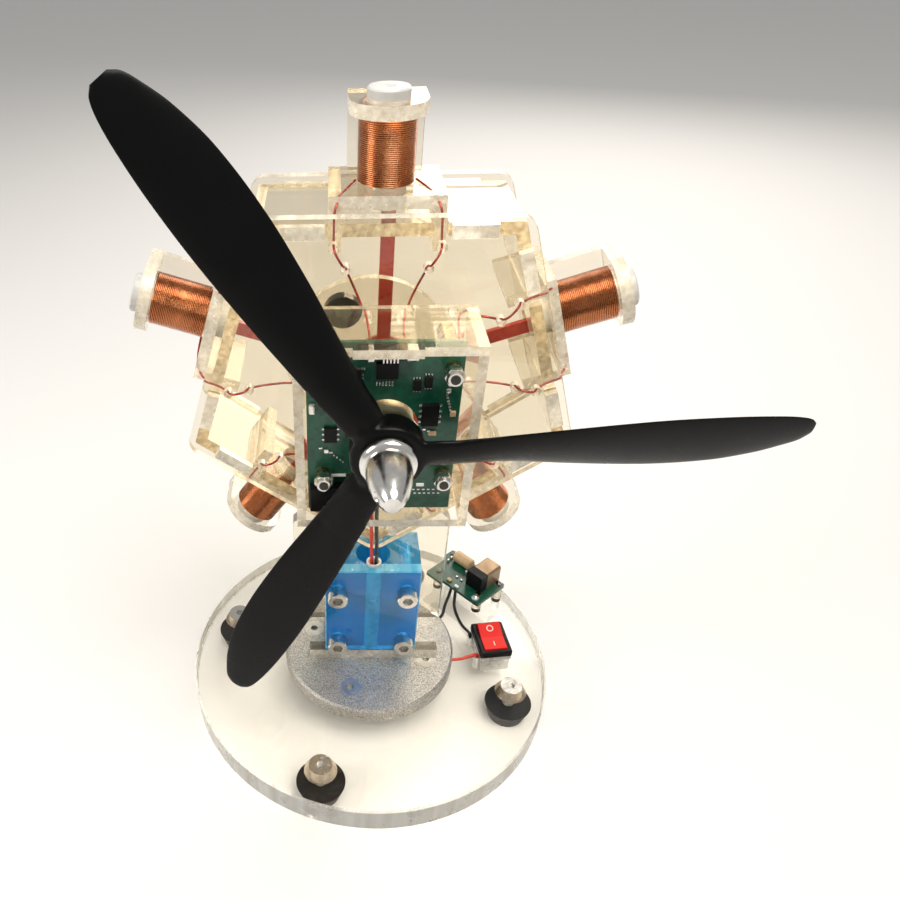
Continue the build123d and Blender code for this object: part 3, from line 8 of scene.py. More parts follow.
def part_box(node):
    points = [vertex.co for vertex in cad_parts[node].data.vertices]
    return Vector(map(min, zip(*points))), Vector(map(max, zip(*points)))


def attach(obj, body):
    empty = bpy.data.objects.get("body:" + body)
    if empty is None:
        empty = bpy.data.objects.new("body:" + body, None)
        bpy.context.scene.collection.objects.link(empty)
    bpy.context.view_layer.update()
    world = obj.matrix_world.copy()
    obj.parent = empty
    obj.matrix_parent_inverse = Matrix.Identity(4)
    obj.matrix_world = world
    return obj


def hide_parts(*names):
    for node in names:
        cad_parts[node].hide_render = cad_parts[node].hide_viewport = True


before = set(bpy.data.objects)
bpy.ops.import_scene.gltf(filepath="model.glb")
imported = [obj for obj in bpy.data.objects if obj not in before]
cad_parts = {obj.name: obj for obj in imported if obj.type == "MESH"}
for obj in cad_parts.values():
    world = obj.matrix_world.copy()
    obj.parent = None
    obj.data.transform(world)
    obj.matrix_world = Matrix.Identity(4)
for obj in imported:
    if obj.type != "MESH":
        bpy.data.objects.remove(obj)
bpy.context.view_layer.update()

# ---------------------------------------------------------------- camera, floor and lights
# The motor stands on a pale table top under three large soft lamps. The camera looks down on it from
# the front, a little to the left, as an upright picture of a model on a desk is taken.
def place_camera(position, azimuth, elevation, roll, lens, shift):
    """A camera turned by azimuth from +Y, then down by elevation, then rolled about its own view."""
    az, el, tilt = (math.radians(value) for value in (azimuth, elevation, roll))
    ahead = Vector((math.sin(az) * math.cos(el), math.cos(az) * math.cos(el), -math.sin(el)))
    level = Vector((math.cos(az), -math.sin(az), 0.0))
    upward = level.cross(ahead)
    right = math.cos(tilt) * level + math.sin(tilt) * upward
    above = math.cos(tilt) * upward - math.sin(tilt) * level
    turn = Matrix((right, above, -ahead)).transposed().to_4x4()
    data = bpy.data.cameras.new("camera")
    data.lens = lens
    data.shift_x, data.shift_y = shift
    data.clip_start, data.clip_end = 0.01, 20.0
    camera = bpy.data.objects.new("camera", data)
    camera.matrix_world = Matrix.Translation(position) @ turn
    bpy.context.scene.collection.objects.link(camera)
    return camera


camera = place_camera((-0.01769, -0.24448, 0.30879), -2.38, 40.23, -1.7, 31.7, (0.161, 0.0794))
bpy.context.scene.camera = camera


def soft_lamp(name, place, aim, width, power, colour):
    """A square area lamp that faces aim."""
    data = bpy.data.lights.new(name, "AREA")
    data.size = width
    data.energy = power
    data.color = colour
    lamp = bpy.data.objects.new(name, data)
    lamp.location = place
    lamp.rotation_euler = (Vector(aim) - Vector(place)).to_track_quat("-Z", "Y").to_euler()
    bpy.context.scene.collection.objects.link(lamp)


soft_lamp("lamp_above", (0.25, -0.30, 1.1), (0, 0, 0.12), 0.6, 10.0, (1.0, 0.96, 0.90))
soft_lamp("lamp_left", (-0.8, -0.25, 0.6), (0, 0, 0.14), 0.4, 4.5, (1.0, 0.96, 0.90))
soft_lamp("lamp_behind", (0.35, 0.9, 0.65), (0, 0, 0.14), 0.6, 5.0, (1.0, 0.93, 0.84))

world = bpy.data.worlds.new("room")
world.use_nodes = True
world.node_tree.nodes["Background"].inputs["Color"].default_value = (1.0, 0.985, 0.965, 1.0)
world.node_tree.nodes["Background"].inputs["Strength"].default_value = 0.42
bpy.context.scene.world = world
bpy.context.scene.view_settings.view_transform = "Standard"
bpy.context.scene.cycles.max_bounces = 24
bpy.context.scene.cycles.transmission_bounces = 24
bpy.context.scene.cycles.transparent_max_bounces = 24


def finish_of(name, colour, roughness, **values):
    """A new material whose Principled shader holds these plain values."""
    material = bpy.data.materials.new(name)
    material.use_nodes = True
    shader = material.node_tree.nodes["Principled BSDF"]
    shader.inputs["Base Color"].default_value = (*colour, 1.0)
    shader.inputs["Roughness"].default_value = roughness
    for socket, value in values.items():
        shader.inputs[socket.replace("_", " ")].default_value = value
    return material


def feed(material, socket, source):
    """Join a node's output to a socket of the material's Principled shader."""
    shader = material.node_tree.nodes["Principled BSDF"]
    material.node_tree.links.new(source, shader.inputs[socket])


def mesh_piece(name, mesh, *materials):
    """A finished object at the origin from a mesh that is already in place."""
    piece = bpy.data.objects.new(name, mesh)
    if len(mesh.materials):  # clearing also takes the faces' own numbers away
        mesh.materials.clear()
    for material in materials:
        mesh.materials.append(material)
    bpy.context.scene.collection.objects.link(piece)
    return piece


table_top = finish_of("pale_table", (0.76, 0.755, 0.745), 0.55)
floor_mesh = bpy.data.meshes.new("table_top")
floor_mesh.from_pydata([(-6, -6, 0), (6, -6, 0), (6, 6, 0), (-6, 6, 0)], [], [(0, 1, 2, 3)])
mesh_piece("table_top", floor_mesh, table_top)


# ---------------------------------------------------------------- motor and switch leads
# Thin stranded wire in soft sleeving. The red lead runs from the switch and the black one from the power
# board, under the mounting disc and up through the clamp to the board; a short black one joins the
# switch to the power board. Both ends of each are soldered, and between them it lies loose.
mm = 0.001
lead_red = finish_of("lead_red", (0.66, 0.03, 0.012), 0.35)
lead_black = finish_of("lead_black", (0.010, 0.010, 0.010), 0.35)


def wire_piece(name, routes, thickness, material):
    """Round wires on smooth curves, one for each route; places and thickness are in metres."""
    line = bpy.data.curves.new(name, "CURVE")
    line.dimensions = "3D"
    for places in routes:
        spline = line.splines.new("NURBS")
        spline.points.add(len(places) - 1)
        for point, place in zip(spline.points, places):
            point.co = (*place, 1.0)
        spline.order_u = 3
        spline.use_endpoint_u = True
        spline.resolution_u = 8
    line.bevel_depth = thickness / 2
    line.bevel_resolution = 2
    line.use_fill_caps = True
    line.materials.append(material)
    piece = bpy.data.objects.new(name, line)
    bpy.context.scene.collection.objects.link(piece)
    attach(piece, "stand")
    return piece


# The routes are in millimetres. Both motor leads share the climb from the clamp to the board.
lead_size, red_aside, black_aside = 1.5 * mm, -0.6, 1.4
climb = [(0.0, -3.4, 40.0), (0.0, -3.6, 80.0), (-0.1, -4.8, 86.5), (-0.5, -10.3, 94.0)]
climb += [(-2.0, -18.0, 121.46), (-2.0, -18.6, 136.46), (-2.0, -27.0, 142.46)]
red_route = [(50.74, -1.47, 9.0), (50.74, -1.47, 19.0), (50.6, -1.55, 22.2), (46.8, -2.8, 22.0)]
red_route += [(40.88, -4.81, 21.85), (34.0, -4.57, 21.85), (8.0, -3.67, 21.85), (1.2, -3.45, 22.4)]
red_route += [(-0.6, -3.4, 30.0)] + [(x + red_aside, y, z) for x, y, z in climb]
black_route = [(42.17, 35.07, 29.2), (41.2, 33.6, 25.0), (39.0, 30.2, 22.0), (36.85, 22.12, 21.85)]
black_route += [(31.0, 18.02, 21.85), (8.0, 1.92, 21.85), (3.0, -1.6, 22.4)]
black_route += [(1.4, -3.3, 30.0)] + [(x + black_aside, y, z) for x, y, z in climb]
switch_route = [(43.95, 33.04, 29.2), (43.6, 31.6, 25.0), (43.2, 28.4, 22.2), (44.2, 21.6, 21.85)]
switch_route += [(46.0, 15.4, 21.9), (48.8, 11.3, 22.3), (49.25, 10.64, 19.0), (49.25, 10.64, 9.0)]
for name, node, route, length, finish, slot in (
    ("lead_red", "motor_lead_red", red_route, 0.188, lead_red, "red_wire"),
    ("lead_black", "motor_lead_black", black_route, 0.184, lead_black, "black_wire"),
    ("lead_switch", "switch_lead", switch_route, 0.0394, lead_black, "black_wire"),
):
    places = [tuple(value * mm for value in place) for place in route]
    lead = wire_piece(name, [places], lead_size, finish)
    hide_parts(node)


# ---------------------------------------------------------------- base disc and mounting disc
# The base is a thick disc of clear cast acrylic with a sawn and lightly polished rim. Its faces are
# glossy with a few smears, so the rim and the faces are told apart and finished apart.
def effect_group(name, numbers, outputs):
    """A shader node group with number inputs and named outputs; returns its tree and end nodes."""
    tree = bpy.data.node_groups.new(name, "ShaderNodeTree")
    for label, value in numbers.items():
        socket = tree.interface.new_socket(label, in_out="INPUT", socket_type="NodeSocketFloat")
        socket.default_value = value
    for label, kind in outputs.items():
        tree.interface.new_socket(label, in_out="OUTPUT", socket_type="NodeSocket" + kind)
    return tree, tree.nodes.new("NodeGroupInput"), tree.nodes.new("NodeGroupOutput")


def add_node(tree, kind, values=(), **settings):
    """A node of a tree, with its settings and the plain values of its sockets."""
    node = tree.nodes.new(kind)
    for label, value in settings.items():
        setattr(node, label, value)
    for label, value in dict(values).items():
        node.inputs[label].default_value = value
    return node


def use_group(material, tree, **values):
    """Place a shared effect in a material with the material's own values."""
    node = add_node(material.node_tree, "ShaderNodeGroup", node_tree=tree)
    for label, value in values.items():
        node.inputs[label.replace("_", " ")].default_value = value
    return node


def cloudy(tree, entry, detail=3.0):
    """Noise on object coordinates whose scale is the group's Scale input."""
    place = add_node(tree, "ShaderNodeTexCoord")
    noise = add_node(tree, "ShaderNodeTexNoise", {"Detail": detail})
    tree.links.new(place.outputs["Object"], noise.inputs["Vector"])
    tree.links.new(entry.outputs["Scale"], noise.inputs["Scale"])
    return noise


# Smears and fine scratches from handling: the roughness drifts between two values in soft patches.
handling, entry, leave = effect_group(
    "handling_marks", {"Scale": 60.0, "Smooth": 0.1, "Rough": 0.3}, {"Roughness": "Float"}
)
patches = cloudy(handling, entry, 4.0)
drift = add_node(handling, "ShaderNodeMapRange", {"From Min": 0.3, "From Max": 0.7})
handling.links.new(patches.outputs["Fac"], drift.inputs["Value"])
handling.links.new(entry.outputs["Smooth"], drift.inputs["To Min"])
handling.links.new(entry.outputs["Rough"], drift.inputs["To Max"])
handling.links.new(drift.outputs["Result"], leave.inputs["Roughness"])

# A fine uneven skin, as on moulded plastic, rubber or a casting.
skin, entry, leave = effect_group("uneven_skin", {"Scale": 800.0, "Depth": 0.05}, {"Normal": "Vector"})
grain = cloudy(skin, entry, 2.0)
swell = add_node(skin, "ShaderNodeBump", {"Distance": 0.0004})
skin.links.new(entry.outputs["Depth"], swell.inputs["Strength"])
skin.links.new(grain.outputs["Fac"], swell.inputs["Height"])
skin.links.new(swell.outputs["Normal"], leave.inputs["Normal"])

# Two colours in soft patches, for finishes that aren't one flat colour.
mottle, entry, leave = effect_group("mottled_colour", {"Scale": 40.0, "Sharpness": 0.3}, {"Mask": "Float"})
blotch = cloudy(mottle, entry, 5.0)
spread = add_node(mottle, "ShaderNodeMapRange")
for operation, socket in (("SUBTRACT", "From Min"), ("ADD", "From Max")):
    edge = add_node(mottle, "ShaderNodeMath", {0: 0.5}, operation=operation)
    mottle.links.new(entry.outputs["Sharpness"], edge.inputs[1])
    mottle.links.new(edge.outputs["Value"], spread.inputs[socket])
mottle.links.new(blotch.outputs["Fac"], spread.inputs["Value"])
mottle.links.new(spread.outputs["Result"], leave.inputs["Mask"])

# Fine parallel lines that a saw, a laser or a lathe leaves: noise drawn out along one axis.
streaks, entry, leave = effect_group(
    "tool_lines", {"Along X": 1.0, "Along Y": 1.0, "Along Z": 1.0, "Scale": 500.0}, {"Mask": "Float"}
)
place = add_node(streaks, "ShaderNodeTexCoord")
stretch = add_node(streaks, "ShaderNodeCombineXYZ")
for label in "XYZ":
    streaks.links.new(entry.outputs[f"Along {label}"], stretch.inputs[label])
drawn_out = add_node(streaks, "ShaderNodeVectorMath", operation="MULTIPLY")
streaks.links.new(place.outputs["Object"], drawn_out.inputs[0])
streaks.links.new(stretch.outputs["Vector"], drawn_out.inputs[1])
lines = add_node(streaks, "ShaderNodeTexNoise", {"Detail": 3.0})
streaks.links.new(drawn_out.outputs["Vector"], lines.inputs["Vector"])
streaks.links.new(entry.outputs["Scale"], lines.inputs["Scale"])
evened = add_node(streaks, "ShaderNodeMapRange", {"From Min": 0.3, "From Max": 0.7})
streaks.links.new(lines.outputs["Fac"], evened.inputs["Value"])
streaks.links.new(evened.outputs["Result"], leave.inputs["Mask"])


def mix_colours(material, marks, dark, pale):
    """Feed the base colour from two colours, by the mask of a placed group."""
    tree = material.node_tree
    mix = add_node(tree, "ShaderNodeMix", data_type="RGBA")
    mix.inputs["A"].default_value = (*dark, 1.0)
    mix.inputs["B"].default_value = (*pale, 1.0)
    tree.links.new(marks.outputs["Mask"], mix.inputs["Factor"])
    feed(material, "Base Color", mix.outputs["Result"])


def lined(material, dark, pale, scale, **along):
    """Two colours in drawn-out lines."""
    mix_colours(material, use_group(material, streaks, Scale=scale, **along), dark, pale)


def two_tone(material, dark, pale, scale, sharpness=0.3):
    """Two colours in soft patches."""
    mix_colours(material, use_group(material, mottle, Scale=scale, Sharpness=sharpness), dark, pale)


def worn(material, scale, smooth, rough):
    """Feed the roughness from the handling marks."""
    marks = use_group(material, handling, Scale=scale, Smooth=smooth, Rough=rough)
    feed(material, "Roughness", marks.outputs["Roughness"])


def grained(material, scale, depth):
    """Feed the normal from the uneven skin."""
    bump = use_group(material, skin, Scale=scale, Depth=depth)
    feed(material, "Normal", bump.outputs["Normal"])


def let_lamps_through(material, tint):
    """Clear plastic throws a pale shadow: rays from lamps pass it with a tint."""
    tree = material.node_tree
    shader = tree.nodes["Principled BSDF"]
    end = tree.nodes["Material Output"]
    path = add_node(tree, "ShaderNodeLightPath")
    passing = add_node(tree, "ShaderNodeBsdfTransparent", {"Color": (*tint, 1.0)})
    choose = add_node(tree, "ShaderNodeMixShader")
    tree.links.new(path.outputs["Is Shadow Ray"], choose.inputs["Fac"])
    tree.links.new(shader.outputs["BSDF"], choose.inputs[1])
    tree.links.new(passing.outputs["BSDF"], choose.inputs[2])
    tree.links.new(choose.outputs["Shader"], end.inputs["Surface"])


def dress(material, *nodes):
    """Give CAD nodes a finish."""
    for node in nodes:
        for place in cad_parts[node].material_slots:
            place.material = material


def patches_of(work, angle):
    """Groups of faces that meet each other within an angle."""
    groups, seen = [], set()
    for start in work.faces:
        if start.index in seen:
            continue
        seen.add(start.index)
        group, queue = [], [start]
        while queue:
            face = queue.pop()
            group.append(face)
            for edge in face.edges:
                if edge.calc_face_angle(math.pi) > angle:
                    continue
                for other in edge.link_faces:
                    if other.index not in seen:
                        seen.add(other.index)
                        queue.append(other)
        groups.append(group)
    return groups


def mesh_from(name, work):
    """A new mesh that holds the shape, which is then closed."""
    mesh = bpy.data.meshes.new(name)
    work.to_mesh(mesh)
    work.free()
    return mesh


def clean_copy(node):
    """A copy of a CAD node's mesh with its corners merged; its faces already point outward."""
    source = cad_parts[node]
    work = bmesh.new()
    work.from_mesh(source.data)
    work.transform(source.matrix_world)
    bmesh.ops.remove_doubles(work, verts=work.verts, dist=0.001 * mm)
    work.faces.index_update()
    return work


def parted_copy(name, node, materials, body, angle, choose):
    """A copy of a CAD node whose patches of faces get the finishes that choose names by number."""
    work = clean_copy(node)
    for group in patches_of(work, math.radians(angle)):
        number = choose(group)
        for face in group:
            face.material_index = number
            face.smooth = True
    for edge in work.edges:
        edge.smooth = edge.calc_face_angle(math.pi) < math.radians(30)
    piece = mesh_piece(name, mesh_from(name, work), *materials)
    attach(piece, body)
    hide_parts(node)
    return piece


def middle_of(group):
    """Centre of a group of faces."""
    return sum((face.calc_center_median() for face in group), Vector()) / len(group)


def narrow(width):
    """A chooser: 1 for patches of faces that are narrower than width on average, else 0."""
    def choose(group):
        inside = set(group)
        rim = sum(
            edge.calc_length() for face in group for edge in face.edges
            if not all(other in inside for other in edge.link_faces)
        )
        area = sum(face.calc_area() for face in group)
        return 1 if 2 * area < width * rim else 0
    return choose


base_acrylic = finish_of(
    "base_acrylic", (0.905, 0.89, 0.85), 0.03, Transmission_Weight=1.0, IOR=1.49
)
worn(base_acrylic, 25.0, 0.015, 0.06)
let_lamps_through(base_acrylic, (0.91, 0.90, 0.87))
base_rim = finish_of("sawn_rim", (0.83, 0.81, 0.75), 0.3, Transmission_Weight=0.55, IOR=1.49)
lined(base_rim, (0.66, 0.62, 0.54), (0.97, 0.95, 0.89), 260.0, Along_Z=0.05)
worn(base_rim, 120.0, 0.2, 0.45)
let_lamps_through(base_rim, (0.88, 0.87, 0.84))
parted_copy("base_disc", "base_plate", (base_acrylic, base_rim), "stand", 40,
            lambda group: 1 if abs(group[0].normal.z) < 0.9 else 0)

# The mounting disc is a sand-cast aluminium disc with a fettled top. It is held by four countersunk
# screws, and its skin is speckled where the sand left pits.
cast_skin = finish_of("cast_aluminium", (0.42, 0.41, 0.39), 0.5, Metallic=0.75)
two_tone(cast_skin, (0.22, 0.21, 0.19), (0.62, 0.59, 0.54), 1900.0, 0.14)
worn(cast_skin, 300.0, 0.32, 0.62)
grained(cast_skin, 2200.0, 0.5)
dress(cast_skin, "mounting_disc")

# ---------------------------------------------------------------- feet
# Four tapered rubber feet are pulled up against the base by countersunk screws through turned cup
# washers; the screws' nuts sit in pockets in the rubber.
foot_rubber = finish_of("foot_rubber", (0.012, 0.012, 0.012), 0.6)
worn(foot_rubber, 200.0, 0.45, 0.7)
grained(foot_rubber, 1500.0, 0.25)
dress(foot_rubber, "rubber_feet")

nickel = finish_of("nickel_plate", (0.66, 0.64, 0.60), 0.2, Metallic=1.0)
worn(nickel, 350.0, 0.12, 0.3)
dress(nickel, "foot_screws", "frame_nuts")
zinc = finish_of("zinc_plate", (0.52, 0.51, 0.48), 0.4, Metallic=1.0)
two_tone(zinc, (0.42, 0.41, 0.38), (0.60, 0.59, 0.56), 400.0)
worn(zinc, 350.0, 0.34, 0.5)
dress(zinc, "disc_screws", "clamp_foot_screws")
warm_nickel = finish_of("warm_nickel", (0.60, 0.50, 0.36), 0.2, Metallic=1.0)
two_tone(warm_nickel, (0.46, 0.36, 0.24), (0.72, 0.62, 0.48), 300.0)
worn(warm_nickel, 350.0, 0.12, 0.3)
dress(warm_nickel, "foot_cup_washers")

# ---------------------------------------------------------------- clamp block and post
# The block is polished blue acrylic: a bored core and a front plate, held to the clear post by four
# socket-head bolts with nuts behind. A clear bar stands in front of the core, under the plate.
blue_acrylic = finish_of(
    "blue_acrylic", (0.06, 0.50, 0.80), 0.04, Transmission_Weight=0.72, IOR=1.49
)
worn(blue_acrylic, 60.0, 0.02, 0.08)
let_lamps_through(blue_acrylic, (0.3, 0.65, 0.88))
# Painted highlight: the front plate's narrow edges, its top with them, are a paler, half-diffuse blue for
# the bright light along them; the lines in it are tool marks.
blue_edge_lines_and_painted_highlight = finish_of("blue_edge_lines_and_painted_highlight", (0.10, 0.62, 0.86), 0.2, Transmission_Weight=0.4, IOR=1.49)
lined(blue_edge_lines_and_painted_highlight, (0.05, 0.50, 0.78), (0.30, 0.80, 0.95), 300.0, Along_Y=0.05)
worn(blue_edge_lines_and_painted_highlight, 200.0, 0.12, 0.3)
let_lamps_through(blue_edge_lines_and_painted_highlight, (0.4, 0.75, 0.92))
parted_copy("clamp_front", "clamp_front_plate", (blue_acrylic, blue_edge_lines_and_painted_highlight), "stand", 2,
            narrow(5 * mm))
dress(blue_acrylic, "clamp_core")

clear_acrylic = finish_of(
    "clear_acrylic", (0.905, 0.855, 0.745), 0.02, Transmission_Weight=1.0, IOR=1.49
)
worn(clear_acrylic, 45.0, 0.01, 0.05)
let_lamps_through(clear_acrylic, (0.95, 0.94, 0.91))
# Painted highlight: the sheet edges get a creamy, half-diffuse colour for the bright light along them; the
# fine lines in it are the laser's marks.
edge_lines_and_painted_highlight = finish_of("laser_lines_and_painted_highlight", (0.93, 0.89, 0.79), 0.2, Transmission_Weight=0.35, IOR=1.49)
lined(edge_lines_and_painted_highlight, (0.66, 0.59, 0.46), (0.95, 0.90, 0.79), 500.0, Along_Y=0.08)
worn(edge_lines_and_painted_highlight, 250.0, 0.12, 0.35)
let_lamps_through(edge_lines_and_painted_highlight, (0.92, 0.90, 0.85))
parted_copy("foot_strip", "clamp_foot_strip", (clear_acrylic, edge_lines_and_painted_highlight), "stand", 2,
            lambda group: 1 if group[0].normal.y < -0.9 else 0)
parted_copy("post", "support_post", (clear_acrylic, edge_lines_and_painted_highlight), "stand", 2,
            narrow(6.5 * mm))
dress(nickel, "clamp_bolts")

# The cable jacket is cut square above the block; two thin leads come out of it.
jacket_white = finish_of("jacket_white", (0.80, 0.75, 0.66), 0.45, Subsurface_Weight=0.2)
worn(jacket_white, 250.0, 0.35, 0.55)
dress(jacket_white, "cable_sleeve")

# ---------------------------------------------------------------- crankcase and coil holders
# Laser-cut clear acrylic: two pentagon plates, five walls with tabs, and five holders glued together
# from plates. The faces keep their gloss; the edges carry the laser's fine lines, and their creamy,
# half-diffuse colour is painted highlight that stands for the bright light along the polished edges.
pale_acrylic = finish_of(
    "pale_acrylic", (0.96, 0.935, 0.875), 0.02, Transmission_Weight=1.0, IOR=1.49
)
worn(pale_acrylic, 45.0, 0.01, 0.05)
let_lamps_through(pale_acrylic, (0.95, 0.94, 0.91))
sheet_edges = narrow(4.6 * mm)
for name, node, sheet in (
    ("case_front", "crankcase_front", clear_acrylic), ("case_back", "crankcase_back", clear_acrylic),
    ("case_walls", "crankcase_walls", clear_acrylic), ("board_box", "pcb_box", pale_acrylic),
):
    parted_copy(name, node, (sheet, edge_lines_and_painted_highlight), "stand", 2, sheet_edges)
for k in range(1, 6):
    parted_copy(f"holder_{k}", f"coil_holder_{k}", (clear_acrylic, edge_lines_and_painted_highlight), "stand", 2,
                sheet_edges)
parted_copy("crank_plate", "crank_disc", (clear_acrylic, edge_lines_and_painted_highlight), "rotor", 2,
            sheet_edges)
dress(clear_acrylic, "power_posts")

# ---------------------------------------------------------------- coils
# Each coil is enamelled copper wire wound on a white guide tube between the holder's two plates.
tube_white = finish_of(
    "tube_white", (0.74, 0.74, 0.72), 0.35, Transmission_Weight=0.25, Subsurface_Weight=0.3,
    Subsurface_Radius=(0.004, 0.004, 0.004)
)
worn(tube_white, 200.0, 0.28, 0.45)
dress(tube_white, "coil_tubes")

enamelled = finish_of("enamelled_copper", (0.60, 0.22, 0.08), 0.25, Metallic=1.0, Coat_Weight=0.5)
two_tone(enamelled, (0.38, 0.115, 0.035), (0.62, 0.24, 0.09), 160.0, 0.45)
worn(enamelled, 500.0, 0.18, 0.3)

winding_wire = 0.55 * mm


def new_tree(name, kinds):
    """A geometry tree whose named inputs are of these kinds; returns it and its end nodes."""
    tree = bpy.data.node_groups.new(name, "GeometryNodeTree")
    for label, kind in kinds.items():
        tree.interface.new_socket(label, in_out="INPUT", socket_type="NodeSocket" + kind)
    tree.interface.new_socket("Geometry", in_out="OUTPUT", socket_type="NodeSocketGeometry")
    return tree, tree.nodes.new("NodeGroupInput"), tree.nodes.new("NodeGroupOutput")


def finish_tree(tree, made, entry, leave):
    """End a tree: real geometry, which carries the finish that the tree's input names."""
    real = add_node(tree, "GeometryNodeRealizeInstances")
    tree.links.new(made, real.inputs["Geometry"])
    painted = add_node(tree, "GeometryNodeSetMaterial")
    tree.links.new(real.outputs["Geometry"], painted.inputs["Geometry"])
    tree.links.new(entry.outputs["Finish"], painted.inputs["Material"])
    tree.links.new(painted.outputs["Geometry"], leave.inputs["Geometry"])


def coil_tree():
    """Wire wound in a helix on a round sleeve: sizes and turns are the tree's inputs."""
    numbers = dict.fromkeys(("Turns", "Length", "Radius", "Wall", "Wire", "Slack"), "Float")
    tree, entry, leave = new_tree("coil_turns", {**numbers, "Finish": "Material"})
    link = tree.links.new
    helix = add_node(tree, "GeometryNodeCurveSpiral", {"Resolution": 44})
    link(entry.outputs["Turns"], helix.inputs["Rotations"])
    link(entry.outputs["Length"], helix.inputs["Height"])
    for socket in ("Start Radius", "End Radius"):
        link(entry.outputs["Radius"], helix.inputs[socket])
    shake = add_node(tree, "ShaderNodeTexNoise", {"Scale": 420.0, "Detail": 1.0})
    centred = add_node(tree, "ShaderNodeVectorMath", {1: (0.5, 0.5, 0.5)}, operation="SUBTRACT")
    scaled = add_node(tree, "ShaderNodeVectorMath", operation="SCALE")
    link(shake.outputs["Color"], centred.inputs[0])
    link(centred.outputs["Vector"], scaled.inputs[0])
    link(entry.outputs["Slack"], scaled.inputs["Scale"])
    laid = add_node(tree, "GeometryNodeSetPosition")
    link(helix.outputs["Curve"], laid.inputs["Geometry"])
    link(scaled.outputs["Vector"], laid.inputs["Offset"])
    section = add_node(tree, "GeometryNodeCurvePrimitiveCircle", {"Resolution": 6})
    link(entry.outputs["Wire"], section.inputs["Radius"])
    drawn = add_node(tree, "GeometryNodeCurveToMesh")
    link(laid.outputs["Geometry"], drawn.inputs["Curve"])
    link(section.outputs["Curve"], drawn.inputs["Profile Curve"])
    rounded = add_node(tree, "GeometryNodeSetShadeSmooth")
    link(drawn.outputs["Mesh"], rounded.inputs["Geometry"])
    half_wall = add_node(tree, "ShaderNodeMath", {1: 0.5}, operation="MULTIPLY")
    link(entry.outputs["Wall"], half_wall.inputs[0])
    mean_radius = add_node(tree, "ShaderNodeMath", operation="SUBTRACT")
    link(entry.outputs["Radius"], mean_radius.inputs[0])
    link(half_wall.outputs["Value"], mean_radius.inputs[1])
    ring = add_node(tree, "GeometryNodeCurvePrimitiveCircle", {"Resolution": 40})
    link(mean_radius.outputs["Value"], ring.inputs["Radius"])
    slab = add_node(tree, "GeometryNodeCurvePrimitiveQuadrilateral")
    link(entry.outputs["Wall"], slab.inputs["Width"])
    link(entry.outputs["Length"], slab.inputs["Height"])
    core = add_node(tree, "GeometryNodeCurveToMesh")
    link(ring.outputs["Curve"], core.inputs["Curve"])
    link(slab.outputs["Curve"], core.inputs["Profile Curve"])
    half_length = add_node(tree, "ShaderNodeMath", {1: 0.5}, operation="MULTIPLY")
    link(entry.outputs["Length"], half_length.inputs[0])
    upward = add_node(tree, "ShaderNodeCombineXYZ")
    link(half_length.outputs["Value"], upward.inputs["Z"])
    lifted = add_node(tree, "GeometryNodeTransform")
    link(core.outputs["Mesh"], lifted.inputs["Geometry"])
    link(upward.outputs["Vector"], lifted.inputs["Translation"])
    joined = add_node(tree, "GeometryNodeJoinGeometry")
    link(rounded.outputs["Geometry"], joined.inputs["Geometry"])
    link(lifted.outputs["Geometry"], joined.inputs["Geometry"])
    finish_tree(tree, joined.outputs["Geometry"], entry, leave)
    return tree


def grown(tree, values):
    """The plain mesh that a tree makes from these inputs."""
    seed = bpy.data.objects.new("seed", bpy.data.meshes.new("seed"))
    bpy.context.scene.collection.objects.link(seed)
    modifier = seed.modifiers.new("grow", "NODES")
    modifier.node_group = tree
    for item in tree.interface.items_tree:
        if item.in_out == "INPUT" and item.name in values:
            modifier[item.identifier] = values[item.name]
    made = bpy.data.meshes.new_from_object(seed.evaluated_get(bpy.context.evaluated_depsgraph_get()))
    seed.modifiers.remove(modifier)
    bpy.data.objects.remove(seed)
    return made


shaft_low, shaft_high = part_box("bearing_tube")
axis_z = (shaft_low.z + shaft_high.z) / 2
middle_y = 15 * mm


def at_cylinder(angle):
    """Carry a piece made along Z, outward, to the cylinder at that angle."""
    turn = Matrix.Rotation(math.radians(90 - angle), 4, "Y")
    return Matrix.Translation((0, middle_y, axis_z)) @ turn


cylinder_angles = [90 - 72 * k for k in range(5)]
wound_low, wound_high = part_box("coil_winding_1")
wound_bore, full_turns = 6.75 * mm, 34.0
winding = coil_tree()
for number, angle in enumerate(cylinder_angles, start=1):
    turns = grown(winding, {
        "Turns": full_turns - 0.5 * (number % 3),
        "Length": wound_high.z - wound_low.z - winding_wire,
        "Radius": wound_high.x - winding_wire / 2,
        "Wall": wound_high.x - winding_wire / 2 - wound_bore,
        "Wire": winding_wire / 2,
        "Slack": 0.05 * mm,
        "Finish": enamelled,
    })
    turns.transform(Matrix.Translation((0, 0, wound_low.z - axis_z + winding_wire / 2)))
    turns.transform(at_cylinder(angle))
    coil = mesh_piece(f"winding_{number}", turns, enamelled)
    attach(coil, "stand")
    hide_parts(f"coil_winding_{number}")

# The ends of each winding are the same enamelled wire, dark red, led over the holder's plates into the
# case and forward through holes in its front plate to the board. They are fixed at both ends.
lead_enamel = finish_of("lead_enamel", (0.30, 0.022, 0.012), 0.25, Metallic=0.4, Coat_Weight=0.6)
two_tone(lead_enamel, (0.22, 0.014, 0.008), (0.46, 0.05, 0.025), 400.0)
worn(lead_enamel, 400.0, 0.15, 0.32)
